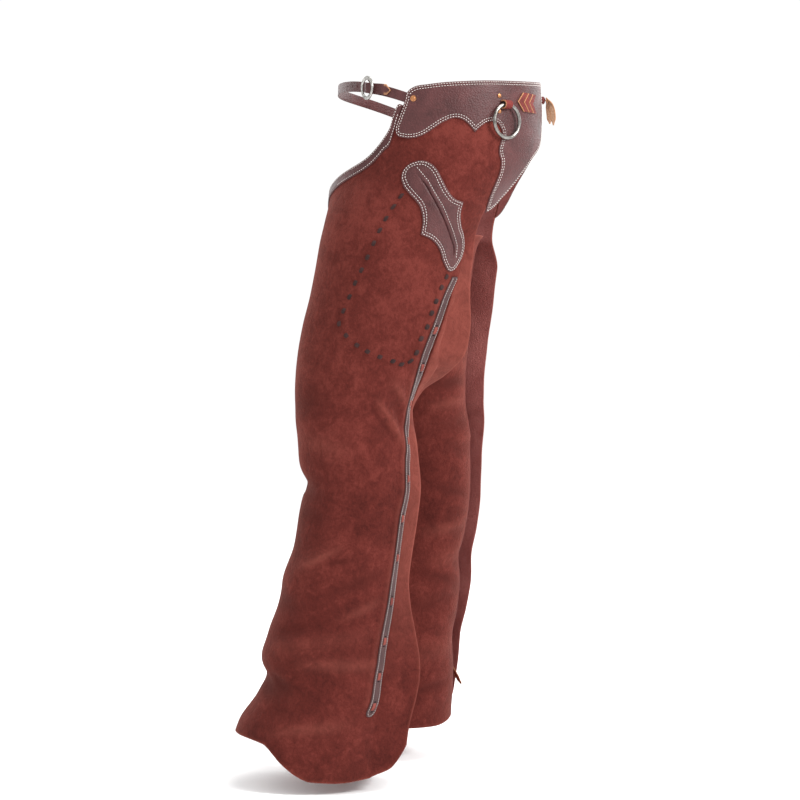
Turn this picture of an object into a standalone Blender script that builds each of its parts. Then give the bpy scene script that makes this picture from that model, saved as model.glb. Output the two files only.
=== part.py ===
"""Work chaps, worn and hollow: two wrapped suede legs under a smooth leather yoke at each hip.

Every leather piece is cut flat from a slab of the hide and then wrapped round the form of its leg.
The wearer faces -Y, the wearer's left is +X, +Z is up, and the origin is the centre of the waist.
Tables and leather sizes are in millimetres, and MM turns them into metres.
"""
import math
from collections import namedtuple

import bmesh
import bpy
import numpy as np
from mathutils import Matrix, Vector

MM = 0.001

# Driving dimensions, in millimetres
SUEDE = 2.0
OVERLAY = 1.8
GAP = 0.3
BINDING_WIDTH = 14.0
BELT_WIDTH = 15.0
BELT_LEATHER = 2.0
SKIVED = 1.4
BUCKLE_WIDTH, BUCKLE_HEIGHT = 24.0, 34.0
BUCKLE_EYE_WIDTH, BUCKLE_EYE_HEIGHT = 17.0, 24.0
BUCKLE_PLATE, BUCKLE_PLATE_HEIGHT, BUCKLE_ROUNDING = 2.4, 7.6, 0.4
BAR_ANCHOR, BAR_BEND, BAR_ROOM = 1.8, 2.6, 1.2
BAR_RADIUS, BAR_SLACK = 1.3, 0.7
RING_DIAMETER, RING_WIRE = 52.0, 5.0
LOOP_WIDTH, LOOP_LEATHER, LOOP_SLACK = 13.0, 2.0, 1.7
FRONT_RIVET_DIAMETER, RING_RIVET_DIAMETER, RIVET_HEIGHT, RIVET_SEAT = 8.5, 6.4, 1.8, 0.25
LACE_WIDTH, LACE_LEATHER, LACE_SEAT = 4.4, 1.6, 0.15
THONG_WIDTH = 8.0
THONG_LEFT = [(5, 157.4, -5), (9, 163, -14), (11, 167, -28), (12, 168, -46)]
THONG_RIGHT = [(-5, 157.6, -7), (-9, 161, -16), (-11, 163, -29), (-12, 164, -42)]
KNOT_CENTRE, KNOT_SIZE = (0, 152.4, -8.5), (10.5, 4.2, 6.0)
BACK_LACE_HEIGHTS, BACK_LACE_ANGLES, BACK_LACE_SINK = (-8.5, -22.0, -35.5), (76.0, 104.0), 0.8
TAIL_TURN, TAIL_REACH, TAIL_HEIGHT, TAIL_FALL, TAIL_HALF_WIDTH, TAIL_GAP = -0.70, 0.62, -868.0, 30.0, 4.2, 0.8

# Where the pieces sit: angles go round the hips, 0 at the side, 90 at the back and -90 at the front
SQUARENESS = 2.2
RESTING_SEAM = 45.0
HIPS_END, HANGING_START = -150.0, -255.0
STRIP_TURN = 0.021
SEAM_CLEARANCE = 1.0
BUCKLE_ANGLE, BELT_TIP_ANGLE, BELT_ROOT_ANGLE = -39.0, -25.8, -10.0
BELT_FRONT_HEIGHT, BELT_DROP, BELT_DROP_CURVE, BELT_TIP_LIFT = 4.5, 26.0, 2.9, 3.0
BELT_HALF_FRONT = 75.0
BELT_UNDER_EDGE, BELT_OVER_BAR, BELT_PAST_BAR, BELT_AT_TIP = -1.8, 6.4, 2.6, 0.9
SHORT_STRAP_TURNED = 17.0
BELT_POINT, BELT_POINT_WIDTH = 7.0, 0.12
FRONT_RIVET_ANGLE, FRONT_RIVET_HEIGHT = -12.5, -21.7
RING_ANGLE, RING_TOP_HEIGHT, RING_STANDOFF = 34.5, -28.0, 7.2
RING_RIVET_ANGLE, RING_RIVET_HEIGHTS = 31.0, (-16.2, -37.7)
CHEVRON_ANGLES, CHEVRON_MIDDLE, CHEVRON_REACH, CHEVRON_RISE = (46.4, 51.6, 56.8), -22.0, 14.0, 13.5

# The sections of the form, down from the waist: y of front and back, x of inner and outer side,
# y of the seam, the width of the flap behind it and its lift off the leg in degrees
Section = namedtuple("Section", "z front back inner outer seam flap lift")
LEFT_SECTIONS = [
    Section(40, -149, 146, -183, 183, 61, 40, 0),
    Section(10, -150, 147, -185, 185, 61, 40, 0),
    Section(-30, -152, 149, -188, 188, 62, 40, 0),
    Section(-70, -155, 149, -188, 190, 64, 40, 0),
    Section(-100, -157, 142, -160, 192, 62, 40, 0),
    Section(-130, -158, 122, -108, 193, 57, 38, 3),
    Section(-160, -160, 90, -46, 194, 48, 34, 8),
    Section(-190, -166, 62, 0, 195, 36, 30, 12),
    Section(-220, -173, 46, 5, 196, 31, 27, 12),
    Section(-260, -180, 40, 8, 196, 26, 26, 10),
    Section(-300, -188, 36, 10, 195, 11.5, 37, 10),
    Section(-340, -198, 28, 14, 195, -2, 50, 12),
    Section(-380, -205, 14, 20, 195, -17, 58, 10),
    Section(-410, -208, -10, 26, 194, -28, 48, 8),
    Section(-435, -209, -32, 32, 193, -38, 24, 6),
    Section(-464, -209, -41, 38, 192, -46, 15, 3),
    Section(-500, -205, -38, 43, 193, -46, 18, 6),
    Section(-566, -197, -32, 47, 196, -45, 24, 8),
    Section(-610, -203, -34, 49, 198, -52, 25, 9),
    Section(-654, -210, -42, 50, 200, -58, 25, 9),
    Section(-700, -226, -50, 49, 202, -64, 26, 10),
    Section(-735, -232, -52, 47, 203, -68, 32, 12),
    Section(-778, -247, -56, 44, 206, -75, 46, 17),
    Section(-819, -256, -58, 41, 209, -81, 56, 21),
    Section(-840, -253, -59, 40, 210, -84, 58, 22),
    Section(-865, -262, -60, 38, 212, -87, 56, 22),
    Section(-907, -290, -63, 34, 216, -94, 52, 20),
    Section(-950, -302, -64, 31, 218, -98, 50, 18),
    Section(-990, -306, -66, 30, 219, -103, 48, 18),
]
RIGHT_SECTIONS = [
    Section(40, -149, 146, -183, 183, 61, 40, 0),
    Section(10, -150, 147, -185, 185, 61, 40, 0),
    Section(-30, -152, 149, -188, 188, 62, 40, 0),
    Section(-70, -155, 149, -188, 190, 64, 40, 0),
    Section(-100, -157, 145, -160, 192, 64, 42, 0),
    Section(-130, -156, 130, -108, 193, 62, 46, 4),
    Section(-160, -152, 108, -46, 194, 54, 54, 8),
    Section(-190, -150, 82, 0, 195, 42, 62, 12),
    Section(-220, -150, 60, 5, 196, 34, 69, 14),
    Section(-260, -150, 52, 8, 196, 26, 75, 14),
    Section(-300, -151, 48, 10, 195, 20, 75, 14),
    Section(-372, -148, 46, 18, 195, 12, 70, 14),
    Section(-420, -140, 42, 28, 193, 14, 64, 14),
    Section(-455, -132, 42, 34, 192, 18, 60, 14),
    Section(-493, -118, 48, 40, 193, 26, 54, 12),
    Section(-546, -112, 50, 45, 196, 30, 46, 12),
    Section(-577, -112, 50, 47, 197, 28, 46, 12),
    Section(-615, -114, 48, 49, 198, 24, 48, 12),
    Section(-653, -117, 42, 50, 200, 20, 48, 12),
    Section(-698, -122, 32, 49, 202, 14, 48, 12),
    Section(-730, -126, 34, 47, 203, 12, 48, 12),
    Section(-776, -134, 30, 44, 206, 8, 46, 10),
    Section(-820, -146, 22, 41, 209, 2, 44, 8),
    Section(-864, -163, 24, 38, 212, -4, 44, 6),
    Section(-902, -182, 23, 34, 215, -10, 44, 4),
    Section(-935, -200, 21, 32, 217, -16, 42, 4),
    Section(-990, -215, 20, 30, 219, -22, 40, 4),
]

# The largest folds: a ridge, or a trough where height is negative, between two places on the leg
Fold = namedtuple("Fold", "angle_a z_a angle_b z_b width height")
LEFT_FOLDS = [
    Fold(-112, -560, -45, -576, 15, -7),
    Fold(-100, -532, -60, -540, 22, 3),
    Fold(20, -447, 57, -521, 10, 3.5),
    Fold(36, -438, 64, -498, 10, -3),
    Fold(25, -416, 62, -458, 9, 3),
    Fold(-51, -686, -13, -657, 15, 4),
    Fold(-95, -838, -36, -862, 14, -7),
    Fold(-85, -806, 27, -773, 14, 4),
    Fold(-70, -782, 5, -757, 14, -4),
    Fold(-49, -884, -13, -890, 14, -4),
    Fold(-150, -566, -205, -548, 16, -6),
    Fold(-250, -470, -205, -524, 14, 4),
    Fold(-262, -452, -215, -492, 12, -4),
    Fold(-235, -800, -165, -832, 16, 4.5),
    Fold(-150, -852, -225, -838, 14, -6),
    Fold(-245, -690, -190, -660, 16, 4),
    Fold(-130, -300, -190, -352, 24, 4),
]
RIGHT_FOLDS = [
    Fold(-262, -486, -198, -497, 12, -5),
    Fold(-266, -508, -205, -510, 10, 3.5),
    Fold(-260, -534, -205, -523, 12, -4),
    Fold(-200, -700, -258, -672, 15, 4),
    Fold(-170, -772, -250, -752, 16, -4.5),
    Fold(-180, -842, -255, -818, 15, 4.5),
    Fold(-110, -556, -45, -570, 15, -6),
    Fold(16, -452, 40, -520, 12, 3.5),
    Fold(-55, -676, -8, -652, 15, 4),
    Fold(-92, -842, -30, -858, 14, -6),
    Fold(-80, -806, 30, -778, 14, 4),
    Fold(-46, -890, -8, -884, 14, -4),
    Fold(-130, -300, -190, -345, 24, 4),
]
MM_PER_DEGREE = 1.75
HIP_MM_PER_DEGREE = 3.1
TOP_EDGE_ROUND = 1100.0

# The cut edges, at turns round a leg from the seam; the outer edge of the flap is at turn -1
Edge = namedtuple("Edge", "turn z")
TOP_EDGE = [
    Edge(-1, -34), Edge(0.12, -34), Edge(0.14, -29), Edge(0.152, -44), Edge(0.159, -61), Edge(0.171, -75),
    Edge(0.187, -89), Edge(0.206, -101), Edge(0.226, -109), Edge(0.255, -117), Edge(0.284, -124),
    Edge(0.319, -133), Edge(0.362, -144), Edge(0.40, -158), Edge(0.46, -180), Edge(0.515, -196),
    Edge(0.57, -204), Edge(0.625, -207), Edge(0.70, -206), Edge(1.021, -206),
]
LEFT_HEM = [
    Edge(-1, -934), Edge(-0.85, -950), Edge(-0.6, -966), Edge(0, -978), Edge(0.065, -982), Edge(0.115, -980),
    Edge(0.145, -970), Edge(0.17, -957), Edge(0.225, -928), Edge(0.29, -922), Edge(0.375, -920),
    Edge(0.45, -929), Edge(0.54, -957), Edge(0.625, -974), Edge(0.75, -974), Edge(0.875, -966),
    Edge(1.021, -974),
]
RIGHT_HEM = [
    Edge(-1, -916), Edge(-0.85, -931), Edge(-0.6, -940), Edge(0, -946), Edge(0.09, -953), Edge(0.165, -955),
    Edge(0.22, -943), Edge(0.29, -906), Edge(0.375, -890), Edge(0.45, -902), Edge(0.54, -934),
    Edge(0.625, -947), Edge(0.75, -948), Edge(0.875, -938), Edge(1.021, -942),
]

# Outlines on the hip and thigh: a corner is sharp, and the other points lie on smooth curves
Mark = namedtuple("Mark", "angle z corner")
YOKE_OUTLINE = [
    Mark(-16.4, -15, False), Mark(-13.4, -6.7, False), Mark(-5, -1.8, False), Mark(14, 3.2, False),
    Mark(47, 7.3, False), Mark(84, 15, True), Mark(84, -10, False), Mark(82, -50, False),
    Mark(76, -78, False), Mark(65, -108, False), Mark(64.5, -135, False), Mark(69, -156, False),
    Mark(70, -170, False), Mark(65, -179, True), Mark(57.8, -168, False), Mark(51.1, -155, False),
    Mark(44.6, -139, False), Mark(41.2, -124, False), Mark(37.2, -108, False), Mark(33.6, -95.5, False),
    Mark(32.9, -83.5, False), Mark(33.7, -72, False), Mark(32.4, -61, False), Mark(29.3, -53.8, False),
    Mark(24.6, -53.8, False), Mark(20.4, -60, False), Mark(17, -68.5, True), Mark(13.6, -58, False),
    Mark(9.9, -50.8, False), Mark(6.1, -49.4, False), Mark(1.7, -54.5, False), Mark(-2.6, -64.5, False),
    Mark(-7.3, -73.5, False), Mark(-12.3, -77.3, False), Mark(-17.2, -76.4, False), Mark(-20.5, -73, False),
    Mark(-21.6, -65.5, False), Mark(-20.1, -48.5, False), Mark(-18.1, -32.5, False),
    Mark(-16.9, -22, False),
]
POCKET_OUTLINE = [
    Mark(-5, -109, False), Mark(-9.3, -110.9, False), Mark(-12.6, -117, False), Mark(-13.8, -129, False),
    Mark(-10.7, -143, False), Mark(-5.4, -154, False), Mark(0.2, -164.5, False), Mark(5.9, -176, False),
    Mark(11.8, -193, False), Mark(15.1, -212.5, True), Mark(24.7, -219.5, False), Mark(32.5, -232, False),
    Mark(39.9, -254, False), Mark(46.6, -263.5, False), Mark(57.2, -250, False), Mark(61.4, -231, False),
    Mark(57.5, -215, False), Mark(46, -197.5, False), Mark(37.9, -181.5, False), Mark(32.3, -166, True),
    Mark(24.4, -162, False), Mark(16.3, -152, False), Mark(7.6, -135.5, False), Mark(1.7, -119.5, False),
    Mark(-1.3, -112.5, False),
]
WELT_LINE = [
    Mark(-6.2, -122, False), Mark(4.7, -148, False), Mark(13.5, -165, False), Mark(23, -180.5, False),
    Mark(33, -197, False), Mark(42, -213, False), Mark(48.8, -230, False), Mark(50.5, -246, False),
]
WELT_WIDTH, WELT_LEATHER, WELT_TAPER = 5.0, 1.2, 0.35
BINDING_CLEARANCE = 0.8
STRIP_TOP, STRIP_STRAIGHT, STRIP_END, STRIP_INSET = -271.0, -881.0, -891.0, 0.0006

# The grid that all the leather on a leg shares: turns of its columns, and rows above and below the top
YOKE_COLUMNS = [-4.6, -4.1, -3.6, -3.1, -2.6, -2.1, -1.5]
FLAP_COLUMNS = [-1.0, -0.75, -0.5, -0.25]
STRIP_COLUMNS = [0.0, STRIP_TURN]
HIP_COLUMNS = [0.045, 0.07, 0.09, 0.11, 0.13, 0.15, 0.17, 0.19, 0.215, 0.24, 0.27, 0.30]
INNER_COLUMNS = [0.34, 0.385, 0.43, 0.475, 0.52, 0.565, 0.61, 0.655, 0.70, 0.745, 0.79, 0.83, 0.87,
                 0.91, 0.955, 1.0, 1.0 + STRIP_TURN]
COLUMNS = YOKE_COLUMNS + FLAP_COLUMNS + STRIP_COLUMNS + HIP_COLUMNS + INNER_COLUMNS
ROWS_ABOVE, ROW_RISE = 3, 22.0
TOP_ROWS, MIDDLE_ROWS, HEM_ROWS = 8, 20, 4
MIDDLE_TOP, MIDDLE_BOTTOM = -330.0, -860.0

# The slabs that pieces are cut from: turns of their sides, and rows below the top edge
Slab = namedtuple("Slab", "start end first last")
YOKE_SLAB = Slab(-4.6, 0.24, -3, 8)
BINDING_SLAB = Slab(0.13, 0.70, 0, 1)
STRIP_SLAB = Slab(-0.25, 0.045, 6, TOP_ROWS + MIDDLE_ROWS + HEM_ROWS)
POCKET_SLAB = Slab(-1.0, 0.15, 2, 9)

# Colours in linear light
SUEDE_COLOUR = (0.165, 0.035, 0.026, 1)
YOKE_COLOUR = (0.14, 0.058, 0.058, 1)
STRIP_COLOUR = (0.12, 0.06, 0.06, 1)
LACE_COLOUR = (0.20, 0.045, 0.042, 1)
THONG_COLOUR = (0.50, 0.32, 0.23, 1)
STEEL_COLOUR = (0.55, 0.54, 0.53, 1)
SILVER_COLOUR = (0.80, 0.79, 0.77, 1)
COPPER_COLOUR = (0.60, 0.28, 0.13, 1)


def through(xs, ys, x):
    """A smooth curve through a table's points that doesn't overshoot them; xs go up."""
    xs, ys = np.asarray(xs, float), np.asarray(ys, float)
    rise = np.diff(ys) / np.diff(xs)
    before, after = np.append(rise[:1], rise), np.append(rise, rise[-1:])
    together = np.where(before + after == 0, 1, before + after)
    slope = np.where(before * after > 0, 2 * before * after / together, 0)
    x = np.clip(np.asarray(x, float), xs[0], xs[-1])
    i = np.clip(np.searchsorted(xs, x) - 1, 0, len(xs) - 2)
    width = xs[i + 1] - xs[i]
    t = (x - xs[i]) / width
    low = (2 * t**3 - 3 * t**2 + 1) * ys[i] + (t**3 - 2 * t**2 + t) * width * slope[i]
    high = (3 * t**2 - 2 * t**3) * ys[i + 1] + (t**3 - t**2) * width * slope[i + 1]
    return low + high


def ease(low, high, x):
    t = np.clip((x - low) / (high - low), 0.0, 1.0)
    return t * t * (3 - 2 * t)


def signed_power(value, exponent):
    return np.sign(value) * np.abs(value)**exponent


class LegForm:
    """The smooth form that one leg's leather lies on, drawn for the left and mirrored at the end."""

    def __init__(self, sections, folds, hem, side):
        rows = sorted(sections, key=lambda row: row.z)
        self.table = {name: [getattr(row, name) for row in rows] for name in Section._fields}
        self.folds, self.hem, self.side = folds, hem, side

    def read(self, name, z):
        return through(self.table["z"], self.table[name], z)

    def oval(self, angle, z):
        front, back, inner, outer = (self.read(name, z) for name in ("front", "back", "inner", "outer"))
        cosine, sine = np.cos(np.radians(angle)), np.sin(np.radians(angle))
        x = (inner + outer) / 2 + (outer - inner) / 2 * signed_power(cosine, 2 / SQUARENESS)
        y = (front + back) / 2 + (back - front) / 2 * signed_power(sine, 2 / SQUARENESS)
        return x, y

    def direction(self, angle, z):
        """The way round the oval towards the back, and the millimetres in a degree there."""
        before, after = self.oval(angle - 0.5, z), self.oval(angle + 0.5, z)
        x, y = after[0] - before[0], after[1] - before[1]
        length = np.hypot(x, y)
        return x / length, y / length, length

    def seam_angle(self, z):
        front, back = self.read("front", z), self.read("back", z)
        share = np.clip((2 * self.read("seam", z) - front - back) / (back - front), -0.9999, 0.9999)
        return np.degrees(np.arcsin(signed_power(share, SQUARENESS / 2)))

    def angle_of(self, turn, z):
        follow = ((1 + np.cos(2 * np.pi * turn)) / 2)**2
        return RESTING_SEAM - 360 * turn + (self.seam_angle(z) - RESTING_SEAM) * follow

    def walk(self, angle, distance, z, steps=10):
        """The angle reached by going a distance round the oval towards the back."""
        for _ in range(steps):
            middle = angle + distance / steps / self.direction(angle, z)[2] / 2
            angle = angle + distance / steps / self.direction(middle, z)[2]
        return angle

    def plain(self, turn, z):
        """Points of the form without its folds."""
        start = self.seam_angle(z)
        angle = self.angle_of(np.maximum(turn, 0), z)
        x, y = self.oval(angle, z)
        along_x, along_y, _ = self.direction(angle, z)
        inset = (SUEDE + SEAM_CLEARANCE) * ease(0.86, 0.985, turn)
        x, y = x - along_y * inset, y + along_x * inset
        reach = -np.minimum(turn, 0) * self.read("flap", z)
        lift = np.radians(self.read("lift", z))
        lifted_x = along_x * np.cos(lift) + along_y * np.sin(lift)
        lifted_y = along_y * np.cos(lift) - along_x * np.sin(lift)
        round_x, round_y = self.oval(self.walk(start, reach, z), z)
        loose = ease(HIPS_END, HANGING_START, z)
        flap_x = (1 - loose) * round_x + loose * (x + lifted_x * reach)
        flap_y = (1 - loose) * round_y + loose * (y + lifted_y * reach)
        return np.stack([np.where(turn < 0, flap_x, x), np.where(turn < 0, flap_y, y), z], axis=-1)

    def fold_height(self, turn, z):
        """How far the folds push the leather out of the plain form."""
        flap = -np.minimum(turn, 0) * self.read("flap", z) / MM_PER_DEGREE
        across = (self.angle_of(np.maximum(turn, 0), z) + flap) * MM_PER_DEGREE
        height = np.zeros_like(z)
        for fold in self.folds:
            start = np.array([fold.angle_a * MM_PER_DEGREE, fold.z_a])
            line = np.array([fold.angle_b * MM_PER_DEGREE, fold.z_b]) - start
            share = np.clip(((across - start[0]) * line[0] + (z - start[1]) * line[1]) / (line @ line), 0, 1)
            distance = np.hypot(across - start[0] - share * line[0], z - start[1] - share * line[1])
            height += fold.height * np.exp(-(distance / fold.width)**2) * (0.35 + 0.65 * np.sin(np.pi * share))
        return height * ease(1.0, 0.95, turn)

    def normal(self, surface, turn, z):
        """The outward normal of a surface of the form, by differences."""
        step_turn = np.where(turn < 0, 0.04, 0.004)
        step_z = 2.0
        along = surface(turn + step_turn, z) - surface(turn - step_turn, z)
        up = surface(turn, z + step_z) - surface(turn, z - step_z)
        outward = np.cross(up, along)
        return outward / np.linalg.norm(outward, axis=-1, keepdims=True)

    def folded(self, turn, z):
        turn, z = np.broadcast_arrays(np.asarray(turn, float), np.asarray(z, float))
        return self.plain(turn, z) + self.normal(self.plain, turn, z) * self.fold_height(turn, z)[..., None]

    def pattern_turn(self, angle, z):
        """The turn at which an angle round the oval lies, at one height."""
        z = np.float64(z)
        start = self.seam_angle(z)
        if angle <= start:
            turns = np.linspace(0, 1, 401)
            return float(np.interp(-angle, -self.angle_of(turns, z), turns))
        angles = np.linspace(start, angle, 33)
        points = np.stack(self.oval(angles, z), axis=-1)
        reach = np.linalg.norm(np.diff(points, axis=0), axis=1).sum()
        return float(-reach / self.read("flap", z))

    def top(self, turn):
        return np.interp(turn, [edge.turn for edge in TOP_EDGE], [edge.z for edge in TOP_EDGE])

    def row_heights(self, turn):
        """The heights of one column's grid points, from the top row down."""
        top = float(self.top(turn))
        slope = float(self.top(turn + 0.01) - self.top(turn - 0.01)) / (0.02 * TOP_EDGE_ROUND)
        bound = top - BINDING_WIDTH * math.hypot(1, slope)
        hem = float(through([edge.turn for edge in self.hem], [edge.z for edge in self.hem], turn))
        above = [top + ROW_RISE * (ROWS_ABOVE - k) for k in range(ROWS_ABOVE)]
        upper = list(np.linspace(bound, MIDDLE_TOP, TOP_ROWS))
        middle = list(np.linspace(MIDDLE_TOP, MIDDLE_BOTTOM, MIDDLE_ROWS + 1))[1:]
        lower = list(np.linspace(MIDDLE_BOTTOM, hem, HEM_ROWS + 1))[1:]
        return above + [top] + upper + middle + lower


class Hide:
    """One leg's leather laid flat: a grid of places on the form, each with its normal."""

    def __init__(self, form):
        self.form = form
        self.heights = np.array([form.row_heights(turn) for turn in COLUMNS])
        turns = np.repeat(np.array(COLUMNS)[:, None], self.heights.shape[1], axis=1)
        self.points = form.folded(turns, self.heights)
        self.normals = form.normal(form.folded, turns, self.heights)

    def flat(self, turn, z):
        """The place on the flat hide, in columns and rows, of a turn and a height."""
        column = float(np.interp(turn, COLUMNS, range(len(COLUMNS))))
        left = min(int(column), len(COLUMNS) - 2)
        share = column - left
        heights = self.heights[left] * (1 - share) + self.heights[left + 1] * share
        return column, float(np.interp(-z, -heights, range(len(heights))))

    def wrapped(self, column, row, height):
        """A point over the hide's facet at a place on the flat hide, in metres."""
        i = min(max(int(column), 0), self.points.shape[0] - 2)
        j = min(max(int(row), 0), self.points.shape[1] - 2)
        u, v = column - i, row - j
        first, last = (i, j), (i + 1, j + 1)
        if u >= v:
            corners = ((first, 1 - u), ((i + 1, j), u - v), (last, v))
        else:
            corners = ((first, 1 - v), ((i, j + 1), v - u), (last, u))
        point = sum(share * (self.points[at] + height * self.normals[at]) for at, share in corners)
        return Vector((point[0] * self.form.side, point[1], point[2])) * MM


def material(name, colour, roughness, metallic=0.0):
    made = bpy.data.materials.new(name)
    made.use_nodes = True
    shader = made.node_tree.nodes["Principled BSDF"]
    shader.inputs["Base Color"].default_value = colour
    shader.inputs["Roughness"].default_value = roughness
    shader.inputs["Metallic"].default_value = metallic
    return made


def add_object(name, mesh, finish, collection):
    thing = bpy.data.objects.new(name, mesh)
    mesh.materials.clear()
    mesh.materials.append(finish)
    mesh.shade_smooth()
    mesh.set_sharp_from_angle(angle=math.radians(40))
    collection.objects.link(thing)
    return thing


def finish_mesh(shape, name):
    """Clean a closed bmesh, turn its faces out and give it back as a mesh."""
    bmesh.ops.remove_doubles(shape, verts=shape.verts, dist=0.00003)
    bmesh.ops.dissolve_degenerate(shape, edges=shape.edges, dist=0.00002)
    bmesh.ops.triangulate(shape, faces=shape.faces)
    bmesh.ops.recalc_face_normals(shape, faces=shape.faces)
    mesh = bpy.data.meshes.new(name)
    shape.to_mesh(mesh)
    shape.free()
    return mesh


def flat_slab(first_column, last_column, first_row, last_row):
    """A slab of the flat hide, one unit thick, with the same facets as the leather under it."""
    shape = bmesh.new()
    columns, rows = last_column - first_column, last_row - first_row
    bmesh.ops.create_grid(shape, x_segments=columns, y_segments=rows, size=0.5)
    for vertex in shape.verts:
        vertex.co.x = first_column + round((vertex.co.x + 0.5) * columns)
        vertex.co.y = first_row + round((vertex.co.y + 0.5) * rows)
        vertex.co.z = 0
    bmesh.ops.triangulate(shape, faces=shape.faces, quad_method="FIXED")
    raised = bmesh.ops.extrude_face_region(shape, geom=shape.faces[:])
    for vertex in (item for item in raised["geom"] if isinstance(item, bmesh.types.BMVert)):
        vertex.co.z = 1
    bmesh.ops.recalc_face_normals(shape, faces=shape.faces)
    return shape


def prism(places, corners, name):
    """A cutter through the flat hide whose outline runs smoothly between its corners."""
    curve = bpy.data.curves.new(name, "CURVE")
    curve.dimensions = "2D"
    curve.fill_mode = "BOTH"
    curve.extrude = 1.5
    curve.resolution_u = 2
    spline = curve.splines.new("BEZIER")
    spline.bezier_points.add(len(places) - 1)
    for point, place, corner in zip(spline.bezier_points, places, corners):
        point.co = (*place, 0)
        point.handle_left_type = point.handle_right_type = "VECTOR" if corner else "AUTO"
    spline.use_cyclic_u = True
    guide = bpy.data.objects.new(name, curve)
    guide.location.z = 0.5
    bpy.context.scene.collection.objects.link(guide)
    return solid_of(guide)


def solid_of(guide):
    """A curve object made a welded mesh object; the curve is removed."""
    bpy.context.view_layer.update()
    evaluated = guide.evaluated_get(bpy.context.evaluated_depsgraph_get())
    mesh = bpy.data.meshes.new_from_object(evaluated)
    mesh.transform(guide.matrix_world)
    shape = bmesh.new()
    shape.from_mesh(mesh)
    bmesh.ops.remove_doubles(shape, verts=shape.verts, dist=0.00001)
    bmesh.ops.recalc_face_normals(shape, faces=shape.faces)
    shape.to_mesh(mesh)
    shape.free()
    made = bpy.data.objects.new(guide.name + "_solid", mesh)
    bpy.context.scene.collection.objects.link(made)
    bpy.data.objects.remove(guide)
    return made


def cut(shape, cutter, operation):
    """The result of one Boolean cut of a bmesh by a mesh object."""
    mesh = bpy.data.meshes.new("uncut")
    shape.to_mesh(mesh)
    shape.free()
    piece = bpy.data.objects.new("uncut", mesh)
    bpy.context.scene.collection.objects.link(piece)
    modifier = piece.modifiers.new("Outline", "BOOLEAN")
    modifier.operation = operation
    modifier.object = cutter
    bpy.context.view_layer.update()
    evaluated = piece.evaluated_get(bpy.context.evaluated_depsgraph_get())
    result = bmesh.new()
    result.from_mesh(evaluated.to_mesh())
    bpy.data.objects.remove(piece)
    bpy.data.objects.remove(cutter)
    return result


def wrap(shape, hide, low, high, name):
    """Wrap a flat piece round the form, between two heights over it."""
    for vertex in shape.verts:
        height = low + (high - low) * vertex.co.z
        vertex.co = hide.wrapped(vertex.co.x, vertex.co.y, height)
    return finish_mesh(shape, name)


def outline_places(hide, marks, grow=0.0):
    """An outline's places on the flat hide; grow moves it outwards, in millimetres."""
    points = np.array([(mark.angle * HIP_MM_PER_DEGREE, mark.z) for mark in marks])
    before, after = np.roll(points, 1, axis=0), np.roll(points, -1, axis=0)
    along = after - before
    along /= np.linalg.norm(along, axis=1, keepdims=True)
    points = points + grow * np.stack([-along[:, 1], along[:, 0]], axis=1)
    places = []
    for across, z in points:
        places.append(hide.flat(hide.form.pattern_turn(across / HIP_MM_PER_DEGREE, z), z))
    return places


def column_index(turn):
    return COLUMNS.index(turn)


def slab_of(part):
    """The flat slab that one piece is cut from."""
    return flat_slab(column_index(part.start), column_index(part.end), ROWS_ABOVE + part.first,
                     ROWS_ABOVE + part.last)


def build_leg(name, hide, finish, collection):
    first, last = column_index(-1.0), len(COLUMNS) - 1
    slab = flat_slab(first, last, ROWS_ABOVE, hide.heights.shape[1] - 1)
    return add_object(name, wrap(slab, hide, -SUEDE, 0, name), finish, collection)


def build_yoke(name, hide, finish, collection):
    slab = slab_of(YOKE_SLAB)
    outline = prism(outline_places(hide, YOKE_OUTLINE), [mark.corner for mark in YOKE_OUTLINE], "yoke_cut")
    piece = cut(slab, outline, "INTERSECT")
    return add_object(name, wrap(piece, hide, GAP, GAP + OVERLAY, name), finish, collection)


def build_binding(name, hide, finish, collection):
    """The band along the front opening and the inner thigh, which ends against the yoke."""
    slab = slab_of(BINDING_SLAB)
    outline = prism(outline_places(hide, YOKE_OUTLINE, grow=BINDING_CLEARANCE),
                    [mark.corner for mark in YOKE_OUTLINE], "binding_cut")
    piece = cut(slab, outline, "DIFFERENCE")
    return add_object(name, wrap(piece, hide, GAP, GAP + OVERLAY, name), finish, collection)


def build_strip(name, hide, finish, collection):
    """The laced strip over the seam, with a rounded lower end."""
    slab = slab_of(STRIP_SLAB)
    near, far, middle = STRIP_INSET, STRIP_TURN - STRIP_INSET, STRIP_TURN / 2
    ends = [Edge(near, STRIP_TOP), Edge(far, STRIP_TOP), Edge(far, STRIP_STRAIGHT), Edge(middle, STRIP_END),
            Edge(near, STRIP_STRAIGHT)]
    straight = [True, True, True, False, True]
    outline = prism([hide.flat(edge.turn, edge.z) for edge in ends], straight, "strip_cut")
    piece = cut(slab, outline, "INTERSECT")
    return add_object(name, wrap(piece, hide, GAP, GAP + OVERLAY, name), finish, collection)


def build_pocket(hide, finish, collection):
    slab = slab_of(POCKET_SLAB)
    outline = prism(outline_places(hide, POCKET_OUTLINE), [mark.corner for mark in POCKET_OUTLINE], "pocket_cut")
    piece = cut(slab, outline, "INTERSECT")
    mesh = wrap(piece, hide, GAP, GAP + OVERLAY, "pocket_left")
    return add_object("pocket_left", mesh, finish, collection)


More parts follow.
